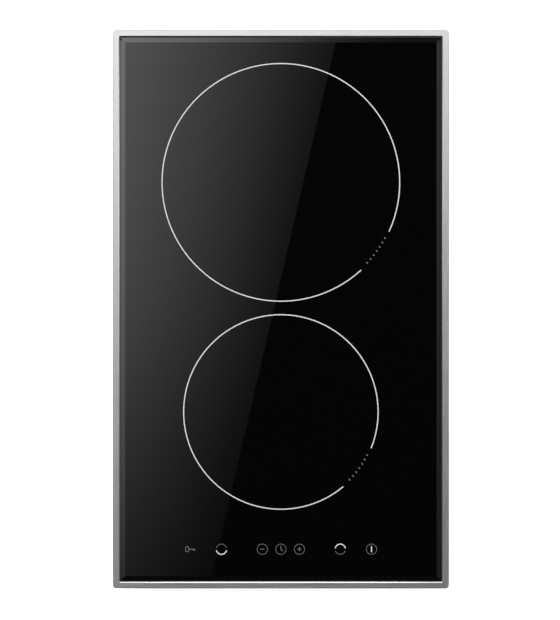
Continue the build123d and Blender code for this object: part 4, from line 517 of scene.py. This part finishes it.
def card(name, x_span, y_span, along, levels):
    """Softbox at the overhead one's height. Its levels run along one of its axes."""
    half_w, half_d = ((high - low) / 2 for low, high in (x_span, y_span))
    place = (sum(x_span) / 2, sum(y_span) / 2, GLASS_TOP + CARD_HEIGHT)
    made = panel(name, half_w, half_d, place)
    s, light = glow(f"{name}_glow")
    value, reach = (s.position()[0], half_w) if along == "x" else (s.position()[1], half_d)
    s.link(stops(s, value, (-reach, reach), levels), light.inputs["Strength"])
    light_up(made, s)


def reflection_cards():
    """Everything that the glass and the steel mirror, all at one height."""
    overhead_card()
    over_w, over_d = (half * CARD_MARGIN * CARD_SPREAD for half in (HALF_W, HALF_D))
    bevel_reach = CARD_HEIGHT * math.tan(math.radians(BEVEL_VIEW))
    side_in, side_out = (GLASS_HIGH[0] + bevel_reach + step for step in SIDE_SPAN)
    end_in, end_out = (GLASS_HIGH[1] + bevel_reach + step for step in END_SPAN)
    whole_d = (-over_d, over_d)
    end_w = (-END_HALF_W, END_HALF_W)
    card("left_card", (-side_out, -side_in), whole_d, "y", LEFT_CARD)
    card("right_card", (side_in, side_out), whole_d, "y", RIGHT_CARD)
    card("rear_card", end_w, (end_in, end_out), "x", REAR_CARD)
    card("front_card", (-FRONT_HALF_W, FRONT_HALF_W), (-FAR_OUT, -end_in), "x", FRONT_CARD)
    card("left_far", (-FAR_OUT, -side_out), whole_d, "y", LEFT_FAR)
    card("right_far", (side_out, FAR_OUT), whole_d, "y", RIGHT_FAR)
    card("rear_far", end_w, (end_out, FAR_OUT), "x", REAR_FAR)
    card("left_gap", (-side_in, -over_w), whole_d, "y", LEFT_GAP)
    card("right_gap", (over_w, side_in), whole_d, "y", RIGHT_GAP)
    card("rear_gap", (-side_in, side_in), (over_d, end_in), "x", REAR_GAP)


def floor():
    """A pale, even floor under the feet."""
    made = panel("floor", FLOOR_REACH, FLOOR_REACH, (0, 0, 0))
    s = Shader("pale_floor", (0.93, 0.93, 0.93), 0.9, Specular_IOR_Level=0.0)
    s.bsdf.inputs["Emission Color"].default_value = (1.0, 1.0, 1.0, 1.0)
    s.bsdf.inputs["Emission Strength"].default_value = FLOOR_GLOW
    made.data.materials.append(s.material)


def world():
    made = bpy.data.worlds.new("studio")
    bpy.context.scene.world = made
    made.use_nodes = True
    background = made.node_tree.nodes["Background"]
    background.inputs["Color"].default_value = (1, 1, 1, 1)
    background.inputs["Strength"].default_value = WORLD_GLOW


def lamps():
    """Two large soft lamps, aimed at the origin, that no glossy surface mirrors."""
    for name, lamp in LAMPS.items():
        data = bpy.data.lights.new(name, "AREA")
        data.shape = "SQUARE"
        data.size = lamp["size"]
        data.energy = lamp["watts"]
        made = bpy.data.objects.new(name, data)
        made.location = lamp["place"]
        made.rotation_euler = (-made.location).to_track_quat("-Z", "Y").to_euler()
        made.visible_glossy = False
        bpy.context.collection.objects.link(made)


def camera():
    """Looks straight down on the glass from far away."""
    distance = CAMERA_HEIGHT + GLASS_TOP - RAIL_TOP
    data = bpy.data.cameras.new("camera")
    data.sensor_width = SENSOR
    data.lens = SENSOR * distance / VIEW_TALL
    made = bpy.data.objects.new("camera", data)
    made.location = (*CAMERA_SHIFT, RAIL_TOP + distance)
    bpy.context.collection.objects.link(made)
    bpy.context.scene.camera = made


dress()
floor()
world()
lamps()
reflection_cards()
camera()
bpy.context.scene.view_settings.view_transform = "Standard"
